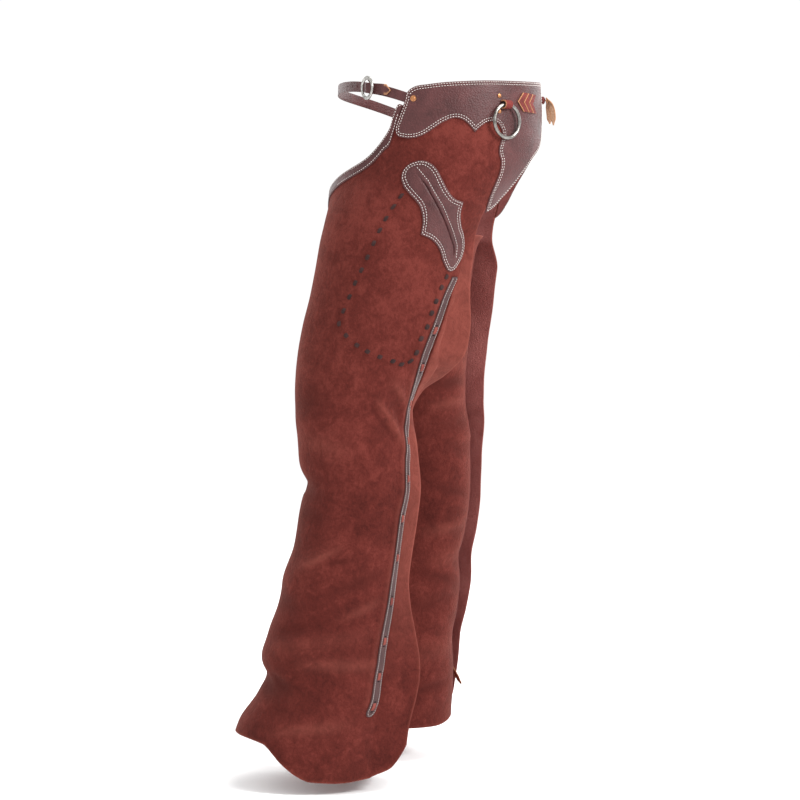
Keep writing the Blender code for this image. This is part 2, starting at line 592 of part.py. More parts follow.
def build_welt(hide, finish, collection):
    """The turned edge of the pocket's slit, a narrow band along it."""
    line = np.array([(mark.angle * HIP_MM_PER_DEGREE, mark.z) for mark in WELT_LINE])
    along = np.gradient(line, axis=0)
    along /= np.linalg.norm(along, axis=1, keepdims=True)
    across = np.stack([-along[:, 1], along[:, 0]], axis=1) * WELT_WIDTH / 2
    across[[0, -1]] *= WELT_TAPER
    edge = np.concatenate([line + across, (line - across)[::-1]])
    places = [hide.flat(hide.form.pattern_turn(a / HIP_MM_PER_DEGREE, z), z) for a, z in edge]
    slab = slab_of(POCKET_SLAB)
    piece = cut(slab, prism(places, [False] * len(places), "welt_cut"), "INTERSECT")
    low = OVERLAY + 2 * GAP
    mesh = wrap(piece, hide, low, low + WELT_LEATHER, "pocket_welt_left")
    return add_object("pocket_welt_left", mesh, finish, collection)


def on_hips(form, angle, z, height=0.0):
    """A point round the whole waist, a height out from the form, in metres."""
    x, y = form.oval(np.float64(angle), np.float64(z))
    along_x, along_y, _ = form.direction(np.float64(angle), np.float64(z))
    return Vector((x + along_y * height, y - along_x * height, z)) * MM


def hip_frame(form, angle, z, height):
    """A frame on the hips: X round towards the back, Y up and Z outwards."""
    along_x, along_y, _ = form.direction(np.float64(angle), np.float64(z))
    along = Vector((along_x, along_y, 0)).normalized()
    out = Vector((along_y, -along_x, 0)).normalized()
    frame = Matrix((along, Vector((0, 0, 1)), out)).transposed().to_4x4()
    return Matrix.Translation(on_hips(form, angle, z, height)) @ frame


def band(steps, place, name):
    """A strap of four-sided sections: place gives a step's point for a side and a layer."""
    shape = bmesh.new()
    bmesh.ops.create_cube(shape, size=1)
    lengthwise = [edge for edge in shape.edges if abs(edge.verts[0].co.x - edge.verts[1].co.x) > 0.5]
    bmesh.ops.subdivide_edges(shape, edges=lengthwise, cuts=steps - 1, use_grid_fill=True)
    for vertex in shape.verts:
        step = round((vertex.co.x + 0.5) * steps)
        vertex.co = place(step / steps, vertex.co.y * 2, vertex.co.z + 0.5)
    return finish_mesh(shape, name)


def belt_line(angle):
    """The height of the belt's middle: level round the front, lower at each yoke."""
    from_front = min(abs(angle + 90) / BELT_HALF_FRONT, 1.0)
    return BELT_FRONT_HEIGHT - BELT_DROP * from_front**BELT_DROP_CURVE


def belt_rise(mm_past_bar):
    """How far the long strap's middle lies over the form, along its way through the buckle."""
    if mm_past_bar < 0:
        return BELT_UNDER_EDGE + (BELT_OVER_BAR - BELT_UNDER_EDGE) * float(ease(-15, -1, mm_past_bar))
    down = BELT_OVER_BAR + (BELT_PAST_BAR - BELT_OVER_BAR) * float(ease(1, 12, mm_past_bar))
    return down + (BELT_AT_TIP - BELT_PAST_BAR) * float(ease(20, 30, mm_past_bar))


def build_long_strap(form, finish, collection):
    """The belt from the right yoke, across the front, over the buckle's bar to its pointed tip."""
    start, end = -180 - BELT_ROOT_ANGLE, BELT_TIP_ANGLE
    degree = float(form.direction(np.float64(BUCKLE_ANGLE), np.float64(0))[2])
    point_length = BELT_POINT / degree

    def place(share, side, layer):
        angle = start + (end - start) * float(np.interp(share, (0, 0.55, 1), (0, 0.82, 1)))
        taper = min(1.0, BELT_POINT_WIDTH + (end - angle) / point_length)
        rise = belt_rise((angle - BUCKLE_ANGLE) * degree)
        lift = BELT_TIP_LIFT * float(ease(BUCKLE_ANGLE, BELT_TIP_ANGLE, angle))
        z = belt_line(angle) + lift + side * taper * BELT_WIDTH / 2
        return on_hips(form, angle, z, rise + (layer - 0.5) * BELT_LEATHER)

    return add_object("belt_right", band(48, place, "belt_right"), finish, collection)


def build_short_strap(form, finish, collection):
    """The strap from under the left yoke, turned round the buckle's bar and back on itself."""
    degree = float(form.direction(np.float64(BUCKLE_ANGLE), np.float64(0))[2])
    run = (BELT_ROOT_ANGLE - BUCKLE_ANGLE) * degree
    radius = BAR_RADIUS + BAR_SLACK + SKIVED / 2
    low = -SUEDE + SKIVED / 2
    bar = low + radius
    half_round = math.pi * radius
    total = run + half_round + SHORT_STRAP_TURNED

    def path(distance):
        """Distance from the bar and height of the strap's middle, and the way across its thickness."""
        if distance < run:
            return run - distance, low, (0, -1)
        if distance < run + half_round:
            angle = (distance - run) / radius
            return -radius * math.sin(angle), bar - radius * math.cos(angle), (-math.sin(angle), -math.cos(angle))
        back = distance - run - half_round
        down = float(ease(2, 13, back)) * (2 * radius - SKIVED - GAP)
        return back, bar + radius - down, (0, 1)

    def place(share, side, layer):
        distance = float(np.interp(share, (0, 0.4, 1), (0, run, total)))
        from_bar, rise, (out_along, out_up) = path(distance)
        off = (layer - 0.5) * SKIVED
        angle = BUCKLE_ANGLE + (from_bar + out_along * off) / degree
        z = belt_line(angle) + side * BELT_WIDTH / 2
        return on_hips(form, angle, z, rise + out_up * off)

    return add_object("belt_left", band(30, place, "belt_left"), finish, collection)


def build_buckle(form, finish, collection):
    """An oval plate with a wide eye, and a bar that dips behind it for the strap."""
    bar_height = -SUEDE + SKIVED + BAR_SLACK + BAR_RADIUS
    curve = bpy.data.curves.new("buckle_plate", "CURVE")
    curve.dimensions = "2D"
    curve.fill_mode = "BOTH"
    curve.extrude = (BUCKLE_PLATE / 2 - BUCKLE_ROUNDING) * MM
    curve.bevel_depth = BUCKLE_ROUNDING * MM
    curve.bevel_resolution = 0
    curve.resolution_u = 4
    for width, height in ((BUCKLE_WIDTH, BUCKLE_HEIGHT), (BUCKLE_EYE_WIDTH, BUCKLE_EYE_HEIGHT)):
        spline = curve.splines.new("BEZIER")
        spline.bezier_points.add(3)
        quarters = ((-1, 0), (0, 1), (1, 0), (0, -1))
        for point, (along, up) in zip(spline.bezier_points, quarters):
            point.co = (along * width / 2 * MM, up * height / 2 * MM, 0)
            reach = 0.5523 * MM / 2
            sideways = Vector((up * width * reach, -along * height * reach, 0))
            point.handle_left_type = point.handle_right_type = "FREE"
            point.handle_left = Vector(point.co) - sideways
            point.handle_right = Vector(point.co) + sideways
        spline.use_cyclic_u = True
    plate = bpy.data.objects.new("buckle_plate", curve)
    bpy.context.scene.collection.objects.link(plate)
    plate = solid_of(plate)

    wire = bpy.data.curves.new("buckle_bar", "CURVE")
    wire.dimensions = "3D"
    wire.bevel_depth = BAR_RADIUS * MM
    wire.bevel_resolution = 2
    wire.use_fill_caps = True
    dip = bar_height - BUCKLE_PLATE_HEIGHT
    end, bend = BUCKLE_EYE_HEIGHT / 2 + BAR_ANCHOR, BELT_WIDTH / 2 + BAR_ROOM
    upper = [(end, 0), (bend + BAR_BEND, dip * 0.55), (bend, dip)]
    route = upper + [(-up, out) for up, out in reversed(upper)]
    line = wire.splines.new("POLY")
    line.points.add(len(route) - 1)
    for point, (up, out) in zip(line.points, route):
        point.co = (0, up * MM, out * MM, 1)
    bar = bpy.data.objects.new("buckle_bar", wire)
    bpy.context.scene.collection.objects.link(bar)
    bar = solid_of(bar)

    shape = bmesh.new()
    shape.from_mesh(plate.data)
    bpy.data.objects.remove(plate)
    whole = cut(shape, bar, "UNION")
    frame = hip_frame(form, BUCKLE_ANGLE, belt_line(BUCKLE_ANGLE), 0)
    whole.transform(Matrix.Translation((0, 0, BUCKLE_PLATE_HEIGHT * MM)))
    whole.transform(frame)
    return add_object("buckle", finish_mesh(whole, "buckle"), finish, collection)


def build_rivet(name, form, angle, z, diameter, finish, collection):
    """A low domed head on the yoke."""
    shape = bmesh.new()
    bmesh.ops.create_cone(shape, cap_ends=True, segments=16, radius1=diameter / 2 * MM,
                          radius2=diameter * 0.3 * MM, depth=RIVET_HEIGHT * MM)
    seat = OVERLAY + 2 * GAP + RIVET_SEAT + RIVET_HEIGHT / 2
    shape.transform(hip_frame(form, angle, z, seat))
    if form.side < 0:
        shape.transform(Matrix.Scale(-1, 4, (1, 0, 0)))
    return add_object(name, finish_mesh(shape, name), finish, collection)


def build_ring(form, finish, collection):
    """The ring, with its origin where it turns in its loop."""
    major = (RING_DIAMETER - RING_WIRE) / 2 * MM
    bpy.ops.mesh.primitive_torus_add(major_radius=major, minor_radius=RING_WIRE / 2 * MM,
                                     major_segments=32, minor_segments=10)
    ring = bpy.context.active_object
    ring.name = "ring"
    ring.data.name = "ring"
    ring.data.transform(Matrix.Translation((0, -major, 0)))
    ring.data.materials.append(finish)
    ring.data.shade_smooth()
    for holder in ring.users_collection:
        holder.objects.unlink(ring)
    collection.objects.link(ring)
    pivot = bpy.data.objects.new("ring_pivot", None)
    collection.objects.link(pivot)
    pivot.matrix_world = hip_frame(form, RING_ANGLE, RING_TOP_HEIGHT, RING_STANDOFF)
    ring.parent = pivot
    return ring


def build_ring_loop(form, finish, collection):
    """The band over the top of the ring, from the yoke above it to the yoke below it."""
    radius = RING_WIRE / 2 + LOOP_SLACK + LOOP_LEATHER / 2
    seat = OVERLAY + 2 * GAP
    leg = RING_STANDOFF - seat
    half_round = math.pi * radius
    total = 2 * leg + half_round
    frame = hip_frame(form, RING_ANGLE, RING_TOP_HEIGHT, 0)

    def place(share, side, layer):
        distance = share * total
        off = radius + (layer - 0.5) * LOOP_LEATHER
        if distance <= leg:
            up, out = off, seat + distance
        elif distance <= leg + half_round:
            angle = (distance - leg) / radius
            up, out = off * math.cos(angle), RING_STANDOFF + off * math.sin(angle)
        else:
            up, out = -off, RING_STANDOFF - (distance - leg - half_round)
        return frame @ Vector((side * LOOP_WIDTH / 2 * MM, up * MM, out * MM))

    return add_object("ring_loop", band(14, place, "ring_loop"), finish, collection)


def build_chevron(name, form, angle, finish, collection):
    """One lace bent to a V on the yoke, its point to the front."""
    degree = float(form.direction(np.float64(angle), np.float64(CHEVRON_MIDDLE))[2])
    seat = OVERLAY + 2 * GAP + LACE_SEAT
    slant = math.hypot(CHEVRON_REACH, CHEVRON_RISE)
    wide = LACE_WIDTH / 2 * slant / CHEVRON_RISE

    def place(share, side, layer):
        from_point = abs(2 * share - 1)
        up = CHEVRON_RISE * (1 - 2 * share)
        along = CHEVRON_REACH * from_point + side * wide
        point = on_hips(form, angle + along / degree, CHEVRON_MIDDLE + up, seat + layer * LACE_LEATHER)
        return Vector((point.x * form.side, point.y, point.z))

    return add_object(name, band(8, place, name), finish, collection)


def build_back_lace(name, form, z, finish, collection):
    """A lace across the centre back, under the edges of both yokes."""
    def place(share, side, layer):
        angle = BACK_LACE_ANGLES[0] + (BACK_LACE_ANGLES[1] - BACK_LACE_ANGLES[0]) * share
        return on_hips(form, angle, z + side * LACE_WIDTH / 2, (layer - 1) * LACE_LEATHER - BACK_LACE_SINK)

    return add_object(name, band(8, place, name), finish, collection)


def build_thong(name, route, finish, collection):
    """A hanging thong end, flat, with a slanting tip."""
    points = np.array(route, float)
    marks = np.linspace(0, 1, len(points))

    def place(share, side, layer):
        centre = np.array([through(marks, points[:, axis], share) for axis in range(3)])
        ahead = np.array([through(marks, points[:, axis], min(share + 0.02, 1)) for axis in range(3)])
        behind = np.array([through(marks, points[:, axis], max(share - 0.02, 0)) for axis in range(3)])
        along = (ahead - behind) / np.linalg.norm(ahead - behind)
        out = np.cross(np.array([1.0, 0, 0]), along)
        out /= np.linalg.norm(out)
        half = THONG_WIDTH / 2 * (1 - 0.75 * float(ease(0.75, 1.0, share)))
        return Vector(centre + np.array([side * half, 0, 0]) + out * (layer - 0.5) * LACE_LEATHER) * MM

    return add_object(name, band(9, place, name), finish, collection)


def build_knot(finish, collection):
    """The tied lace over the centre back."""
    shape = bmesh.new()
    bmesh.ops.create_uvsphere(shape, u_segments=12, v_segments=8, radius=1)
    shape.transform(Matrix.Diagonal((*KNOT_SIZE, 1 / MM)) * MM)
    shape.transform(Matrix.Translation(Vector(KNOT_CENTRE) * MM))
    return add_object("lace_knot", finish_mesh(shape, "lace_knot"), finish, collection)


def build_lace_tail(form, finish, collection):
    """The end of the seam's lace, which pokes out under the right leg's flap."""
    def place(share, side, layer):
        turn = TAIL_TURN - TAIL_REACH * share
        half = TAIL_HALF_WIDTH * (1 - 0.6 * float(ease(0.7, 1.0, share)))
        z = TAIL_HEIGHT - TAIL_FALL * share + side * half
        turns, heights = np.array([turn]), np.array([z])
        point = form.folded(turns, heights)[0]
        normal = form.normal(form.folded, turns, heights)[0]
        point = point - normal * (SUEDE + TAIL_GAP + LACE_LEATHER * (1 - layer))
        return Vector((point[0] * form.side, point[1], point[2])) * MM

    return add_object("lace_tail_right", band(5, place, "lace_tail_right"), finish, collection)


def build():
    for thing in list(bpy.data.objects):
        bpy.data.objects.remove(thing)
    chaps = bpy.data.collections.new("work_chaps")
    bpy.context.scene.collection.children.link(chaps)

    suede = material("suede", SUEDE_COLOUR, 0.95)
    smooth = material("yoke_leather", YOKE_COLOUR, 0.5)
    strip = material("strip_leather", STRIP_COLOUR, 0.5)
    lace = material("lace_leather", LACE_COLOUR, 0.6)
    thong = material("thong_leather", THONG_COLOUR, 0.8)
    steel = material("ring_steel", STEEL_COLOUR, 0.35, 1)
    silver = material("buckle_silver", SILVER_COLOUR, 0.25, 1)
    copper = material("rivet_copper", COPPER_COLOUR, 0.35, 1)

    left = LegForm(LEFT_SECTIONS, LEFT_FOLDS, LEFT_HEM, 1)
    right = LegForm(RIGHT_SECTIONS, RIGHT_FOLDS, RIGHT_HEM, -1)
    hides = {"left": Hide(left), "right": Hide(right)}
    for side, hide in hides.items():
        build_leg("leg_" + side, hide, suede, chaps)
        build_yoke("yoke_" + side, hide, smooth, chaps)
        build_binding("front_binding_" + side, hide, smooth, chaps)
        build_strip("seam_strip_" + side, hide, strip, chaps)
        build_rivet("belt_rivet_" + side, hide.form, FRONT_RIVET_ANGLE, FRONT_RIVET_HEIGHT,
                    FRONT_RIVET_DIAMETER, copper, chaps)
        for number, angle in enumerate(CHEVRON_ANGLES, start=1):
            build_chevron(f"lace_chevron_{side}_{number}", hide.form, angle, lace, chaps)
    build_pocket(hides["left"], smooth, chaps)
    build_welt(hides["left"], smooth, chaps)
    build_long_strap(left, smooth, chaps)
    build_short_strap(left, smooth, chaps)
    build_buckle(left, silver, chaps)
    build_ring(left, steel, chaps)
    build_ring_loop(left, lace, chaps)
    for name, z in zip(("ring_rivet_upper", "ring_rivet_lower"), RING_RIVET_HEIGHTS):
        build_rivet(name, left, RING_RIVET_ANGLE, z, RING_RIVET_DIAMETER, copper, chaps)
    for number, z in enumerate(BACK_LACE_HEIGHTS, start=1):
        build_back_lace(f"back_lace_{number}", left, z, lace, chaps)
    build_knot(lace, chaps)
    build_thong("thong_left", THONG_LEFT, thong, chaps)
    build_thong("thong_right", THONG_RIGHT, thong, chaps)
    build_lace_tail(right, lace, chaps)


build()
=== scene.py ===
"""Looks of the work chaps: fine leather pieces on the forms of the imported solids.

The wearer faces -Y, the wearer's left is +X, +Z is up, and the origin is the centre of the waist.
Tables and leather sizes are in millimetres, and MM turns them into metres.
"""
import math
from collections import namedtuple

import bmesh
import bpy
import numpy as np
from mathutils import Matrix, Vector
from mathutils.geometry import delaunay_2d_cdt


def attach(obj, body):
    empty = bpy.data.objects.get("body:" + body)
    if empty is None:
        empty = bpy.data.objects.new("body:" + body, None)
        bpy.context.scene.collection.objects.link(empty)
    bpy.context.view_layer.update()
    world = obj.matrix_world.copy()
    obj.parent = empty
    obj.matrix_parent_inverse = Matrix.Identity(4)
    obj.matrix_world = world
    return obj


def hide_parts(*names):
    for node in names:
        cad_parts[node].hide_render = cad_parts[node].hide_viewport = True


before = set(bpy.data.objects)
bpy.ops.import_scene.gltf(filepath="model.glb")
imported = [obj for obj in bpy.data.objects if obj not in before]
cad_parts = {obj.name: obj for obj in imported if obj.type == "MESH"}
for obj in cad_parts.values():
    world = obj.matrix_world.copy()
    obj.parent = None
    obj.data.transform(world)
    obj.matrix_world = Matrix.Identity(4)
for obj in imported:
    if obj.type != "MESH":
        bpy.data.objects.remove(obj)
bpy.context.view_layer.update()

MM = 0.001


def table(kind, rows):
    """The rows of a table under its column names."""
    return [kind(*row) for row in rows]


# Driving dimensions in millimetres, with counts, a twist in degrees and shares of a width
SUEDE = 2.0
OVERLAY = 1.8
GAP = 0.3
OVERLAY_TOP, ON_OVERLAY = GAP + OVERLAY, OVERLAY + 2 * GAP
BINDING_WIDTH = 14.0
BELT_WIDTH = 15.0
BELT_LEATHER, BELT_TIP_WIDTH, BELT_POINT = 2.0, 0.12, 7.0
SKIVED = 1.4
BUCKLE_WIDTH, BUCKLE_HEIGHT = 24.0, 34.0
BUCKLE_EYE_WIDTH, BUCKLE_EYE_HEIGHT = 17.0, 24.0
BUCKLE_PLATE_HEIGHT, BUCKLE_FLUTES, FLUTE_DEPTH = 7.6, 24, 0.10
BAR_ANCHOR, BAR_BEND, BAR_BEND_ROOM = 1.8, 2.6, 1.2
BAR_RADIUS, BAR_SLACK = 1.3, 0.7
BUCKLE_STEPS = 96

# The buckle's skin: the share of the way from its eye to its outer edge, and the height
BUCKLE_PROFILE = (
    (0.0, -1.0), (0.0, 0.2), (0.06, 0.75), (0.16, 0.95), (0.22, 0.70), (0.30, 0.95), (0.5, 1.35),
    (0.70, 0.95), (0.78, 0.70), (0.84, 0.95), (0.94, 0.75), (1.0, 0.2), (1.0, -1.0), (0.5, -1.2),
)

# Ring and rivets
RING_DIAMETER, RING_WIRE = 52.0, 5.0
LOOP_WIDTH, LOOP_LEATHER, LOOP_SLACK = 13.0, 2.0, 1.7
FRONT_RIVET_DIAMETER, RING_RIVET_DIAMETER, RIVET_SEAT, RIVET_SIDES = 8.5, 6.4, 0.25, 28

# The rivet's head: the share of its radius, and the height
RIVET_PROFILE = (
    (1, 0.0), (1, 0.45), (0.93, 0.66), (0.62, 0.72), (0.56, 0.80), (0.54, 1.20), (0.44, 1.60), (0.25, 1.78),
)

# Laces and their ends, as routes of places, in millimetres; the tail's turns go round the leg
LACE_WIDTH, LACE_LEATHER, SEAM_LACE = 4.4, 1.6, 1.0
THONG_WIDTH, THONG_TWIST = 8.0, 72.0
THONG_LEFT = [(5, 157.4, -5), (9, 163, -14), (11, 167, -28), (12, 168, -46)]
THONG_RIGHT = [(-5, 157.6, -7), (-9, 161, -16), (-11, 163, -29), (-12, 164, -42)]
KNOT_CENTRE, KNOT_SIZE = (0, 152.4, -8.5), (10.5, 4.2, 6.0)
BACK_LACE_HEIGHTS, BACK_LACE_ANGLES, BACK_LACE_SINK = (-8.5, -22.0, -35.5), (76.0, 104.0), 0.8
TAIL_TURN, TAIL_REACH, TAIL_HEIGHT, TAIL_FALL = -0.70, 0.62, -868.0, 30.0
TAIL_WIDTH, TAIL_GAP = 8.4, 0.8

# Where the pieces sit: angles go round the hips, 0 at the side, 90 at the back and -90 at the front
SQUARENESS = 2.2
RESTING_SEAM = 45.0
HIPS_END, HANGING_START = -150.0, -255.0
STRIP_TURN = 0.021
SEAM_CLEARANCE = 1.0
BUCKLE_ANGLE, BELT_TIP_ANGLE, BELT_ROOT_ANGLE = -39.0, -25.8, -10.0
BELT_FRONT_HEIGHT, BELT_DROP, BELT_DROP_CURVE, BELT_TIP_LIFT = 4.5, 26.0, 2.9, 3.0
BELT_HALF_FRONT = 75.0
BELT_UNDER_EDGE, BELT_OVER_BAR, BELT_PAST_BAR, BELT_AT_TIP = -1.8, 6.4, 2.6, 0.9
SHORT_STRAP_TURNED = 17.0
FRONT_RIVET_ANGLE, FRONT_RIVET_HEIGHT = -12.5, -21.7
RING_ANGLE, RING_TOP_HEIGHT, RING_STANDOFF = 34.5, -28.0, 7.2
RING_RIVET_ANGLE, RING_RIVET_HEIGHTS = 31.0, (-16.2, -37.7)
CHEVRON_ANGLES, CHEVRON_MIDDLE, CHEVRON_REACH, CHEVRON_RISE = (46.4, 51.6, 56.8), -22.0, 14.0, 13.5

# The sections of the form, down from the waist: y of front and back, x of inner and outer side,
# y of the seam, the width of the flap behind it and its lift off the leg in degrees
Section = namedtuple("Section", "z front back inner outer seam flap lift")
HIP_ROWS = [
    (40, -149, 146, -183, 183, 61, 40, 0), (10, -150, 147, -185, 185, 61, 40, 0),
    (-30, -152, 149, -188, 188, 62, 40, 0), (-70, -155, 149, -188, 190, 64, 40, 0),
]
LEFT_SECTIONS = table(Section, HIP_ROWS + [
    (-100, -157, 142, -160, 192, 62, 40, 0), (-130, -158, 122, -108, 193, 57, 38, 3),
    (-160, -160, 90, -46, 194, 48, 34, 8), (-190, -166, 62, 0, 195, 36, 30, 12),
    (-220, -173, 46, 5, 196, 31, 27, 12), (-260, -180, 40, 8, 196, 26, 26, 10),
    (-300, -188, 36, 10, 195, 11.5, 37, 10), (-340, -198, 28, 14, 195, -2, 50, 12),
    (-380, -205, 14, 20, 195, -17, 58, 10), (-410, -208, -10, 26, 194, -28, 48, 8),
    (-435, -209, -32, 32, 193, -38, 24, 6), (-464, -209, -41, 38, 192, -46, 15, 3),
    (-500, -205, -38, 43, 193, -46, 18, 6), (-566, -197, -32, 47, 196, -45, 24, 8),
    (-610, -203, -34, 49, 198, -52, 25, 9), (-654, -210, -42, 50, 200, -58, 25, 9),
    (-700, -226, -50, 49, 202, -64, 26, 10), (-735, -232, -52, 47, 203, -68, 32, 12),
    (-778, -247, -56, 44, 206, -75, 46, 17), (-819, -256, -58, 41, 209, -81, 56, 21),
    (-840, -253, -59, 40, 210, -84, 58, 22), (-865, -262, -60, 38, 212, -87, 56, 22),
    (-907, -290, -63, 34, 216, -94, 52, 20), (-950, -302, -64, 31, 218, -98, 50, 18),
    (-990, -306, -66, 30, 219, -103, 48, 18),
])
RIGHT_SECTIONS = table(Section, HIP_ROWS + [
    (-100, -157, 145, -160, 192, 64, 42, 0), (-130, -156, 130, -108, 193, 62, 46, 4),
    (-160, -152, 108, -46, 194, 54, 54, 8), (-190, -150, 82, 0, 195, 42, 62, 12),
    (-220, -150, 60, 5, 196, 34, 69, 14), (-260, -150, 52, 8, 196, 26, 75, 14),
    (-300, -151, 48, 10, 195, 20, 75, 14), (-372, -148, 46, 18, 195, 12, 70, 14),
    (-420, -140, 42, 28, 193, 14, 64, 14), (-455, -132, 42, 34, 192, 18, 60, 14),
    (-493, -118, 48, 40, 193, 26, 54, 12), (-546, -112, 50, 45, 196, 30, 46, 12),
    (-577, -112, 50, 47, 197, 28, 46, 12), (-615, -114, 48, 49, 198, 24, 48, 12),
    (-653, -117, 42, 50, 200, 20, 48, 12), (-698, -122, 32, 49, 202, 14, 48, 12),
    (-730, -126, 34, 47, 203, 12, 48, 12), (-776, -134, 30, 44, 206, 8, 46, 10),
    (-820, -146, 22, 41, 209, 2, 44, 8), (-864, -163, 24, 38, 212, -4, 44, 6),
    (-902, -182, 23, 34, 215, -10, 44, 4), (-935, -200, 21, 32, 217, -16, 42, 4),
    (-990, -215, 20, 30, 219, -22, 40, 4),
])

# The largest folds: a ridge, or a trough where height is negative, between two places on the leg
Fold = namedtuple("Fold", "angle_a z_a angle_b z_b width height")
LEFT_FOLDS = table(Fold, [
    (-112, -560, -45, -576, 15, -7), (-100, -532, -60, -540, 22, 3), (20, -447, 57, -521, 10, 3.5),
    (36, -438, 64, -498, 10, -3), (25, -416, 62, -458, 9, 3), (-51, -686, -13, -657, 15, 4),
    (-95, -838, -36, -862, 14, -7), (-85, -806, 27, -773, 14, 4), (-70, -782, 5, -757, 14, -4),
    (-49, -884, -13, -890, 14, -4), (-150, -566, -205, -548, 16, -6), (-250, -470, -205, -524, 14, 4),
    (-262, -452, -215, -492, 12, -4), (-235, -800, -165, -832, 16, 4.5), (-150, -852, -225, -838, 14, -6),
    (-245, -690, -190, -660, 16, 4), (-130, -300, -190, -352, 24, 4),
])
RIGHT_FOLDS = table(Fold, [
    (-262, -486, -198, -497, 12, -5), (-266, -508, -205, -510, 10, 3.5), (-260, -534, -205, -523, 12, -4),
    (-200, -700, -258, -672, 15, 4), (-170, -772, -250, -752, 16, -4.5), (-180, -842, -255, -818, 15, 4.5),
    (-110, -556, -45, -570, 15, -6), (16, -452, 40, -520, 12, 3.5), (-55, -676, -8, -652, 15, 4),
    (-92, -842, -30, -858, 14, -6), (-80, -806, 30, -778, 14, 4), (-46, -890, -8, -884, 14, -4),
    (-130, -300, -190, -345, 24, 4),
])
MM_PER_DEGREE = 1.75

# The cut edges, at turns round a leg from the seam; the outer edge of the flap is at turn -1
Edge = namedtuple("Edge", "turn z")
TOP_EDGE = table(Edge, [
    (-1, -34), (0.12, -34), (0.14, -29), (0.152, -44), (0.159, -61), (0.171, -75), (0.187, -89),
    (0.206, -101), (0.226, -109), (0.255, -117), (0.284, -124), (0.319, -133), (0.362, -144), (0.40, -158),
    (0.46, -180), (0.515, -196), (0.57, -204), (0.625, -207), (0.70, -206), (1.021, -206),
])
LEFT_HEM = table(Edge, [
    (-1, -934), (-0.85, -950), (-0.6, -966), (0, -978), (0.065, -982), (0.115, -980), (0.145, -970),
    (0.17, -957), (0.225, -928), (0.29, -922), (0.375, -920), (0.45, -929), (0.54, -957), (0.625, -974),
    (0.75, -974), (0.875, -966), (1.021, -974),
])
RIGHT_HEM = table(Edge, [
    (-1, -916), (-0.85, -931), (-0.6, -940), (0, -946), (0.09, -953), (0.165, -955), (0.22, -943),
    (0.29, -906), (0.375, -890), (0.45, -902), (0.54, -934), (0.625, -947), (0.75, -948), (0.875, -938),
    (1.021, -942),
])

# Outlines on the hip and thigh: a corner is sharp, and the other points lie on smooth curves
Mark = namedtuple("Mark", "angle z corner", defaults=[False])
YOKE_OUTLINE = table(Mark, [
    (-16.4, -15), (-13.4, -6.7), (-5, -1.8), (14, 3.2), (47, 7.3), (84, 15, True), (84, -10), (82, -50),
    (76, -78), (65, -108), (64.5, -135), (69, -156), (70, -170), (65, -179, True), (57.8, -168),
    (51.1, -155), (44.6, -139), (41.2, -124), (37.2, -108), (33.6, -95.5), (32.9, -83.5), (33.7, -72),
    (32.4, -61), (29.3, -53.8), (24.6, -53.8), (20.4, -60), (17, -68.5, True), (13.6, -58), (9.9, -50.8),
    (6.1, -49.4), (1.7, -54.5), (-2.6, -64.5), (-7.3, -73.5), (-12.3, -77.3), (-17.2, -76.4), (-20.5, -73),
    (-21.6, -65.5), (-20.1, -48.5), (-18.1, -32.5), (-16.9, -22),
])
POCKET_OUTLINE = table(Mark, [
    (-5, -109), (-9.3, -110.9), (-12.6, -117), (-13.8, -129), (-10.7, -143), (-5.4, -154), (0.2, -164.5),
    (5.9, -176), (11.8, -193), (15.1, -212.5, True), (24.7, -219.5), (32.5, -232), (39.9, -254),
    (46.6, -263.5), (57.2, -250), (61.4, -231), (57.5, -215), (46, -197.5), (37.9, -181.5),
    (32.3, -166, True), (24.4, -162), (16.3, -152), (7.6, -135.5), (1.7, -119.5), (-1.3, -112.5),
])
WELT_LINE = table(Mark, [
    (-6.2, -122), (4.7, -148), (13.5, -165), (23, -180.5), (33, -197), (42, -213), (48.8, -230),
    (50.5, -246),
])
BINDING_CLEARANCE = 0.8
STRIP_TOP, STRIP_STRAIGHT, STRIP_END, STRIP_INSET = -271.0, -881.0, -891.0, 0.0006

# Finer creases that only the dressed leather has
LEFT_CREASES = table(Fold, [
    (20, -444, 38, -471, 3.2, 1.8), (38, -471, 48, -505, 3.2, 1.8), (15, -452, 42, -508, 5, -1.8),
    (24, -416, 56, -449, 3.2, 1.5), (-40, -680, -9, -653, 4.2, 2.0), (-18, -674, 2, -669, 5, -2.4),
    (-23, -816, 46, -818, 9, 2.0), (-60, -834, -33, -852, 7, -3.0), (73, -486, 74, -551, 6, 2.0),
    (-98, -574, -82, -566, 5, -4.0), (-84, -596, -30, -612, 10, -2.0), (-8, -716, 30, -690, 9, -2.0),
    (2, -752, 34, -728, 7, 1.8), (-88, -718, -40, -742, 12, -2.2), (-30, -912, 20, -900, 9, 2.0),
    (-90, -466, -30, -440, 16, -1.8), (-60, -500, -10, -516, 13, 1.6),
])
RIGHT_CREASES = table(Fold, [
    (-262, -424, -205, -430, 9, -2.4), (-258, -402, -200, -396, 10, 2.0), (-250, -452, -200, -462, 8, 2.0),
    (-255, -600, -200, -588, 8, -2.2), (-250, -640, -190, -652, 9, 2.0), (-245, -730, -195, -716, 8, -2.2),
    (-245, -880, -190, -896, 9, -2.2), (20, -444, 44, -490, 4, 1.8), (-40, -680, -9, -653, 5, 2.0),
    (-84, -596, -30, -612, 10, -2.0), (-88, -718, -40, -742, 12, -2.2),
])
SEAM_RIDGE_TURN, SEAM_RIDGE_WIDTH, SEAM_RIDGE = 0.034, 0.0075, 2.3
LIP_REACH = [
    (-470, 0.2), (-460, 1.4), (-438, 8), (-424, 13.4), (-411, 17), (-399, 19), (-385, 13), (-367, 9.3),
    (-342, 7), (-320, 4), (-305, 8), (-290, 3),
]
LIP_HEIGHT, LIP_FALL = 3.2, 2.6
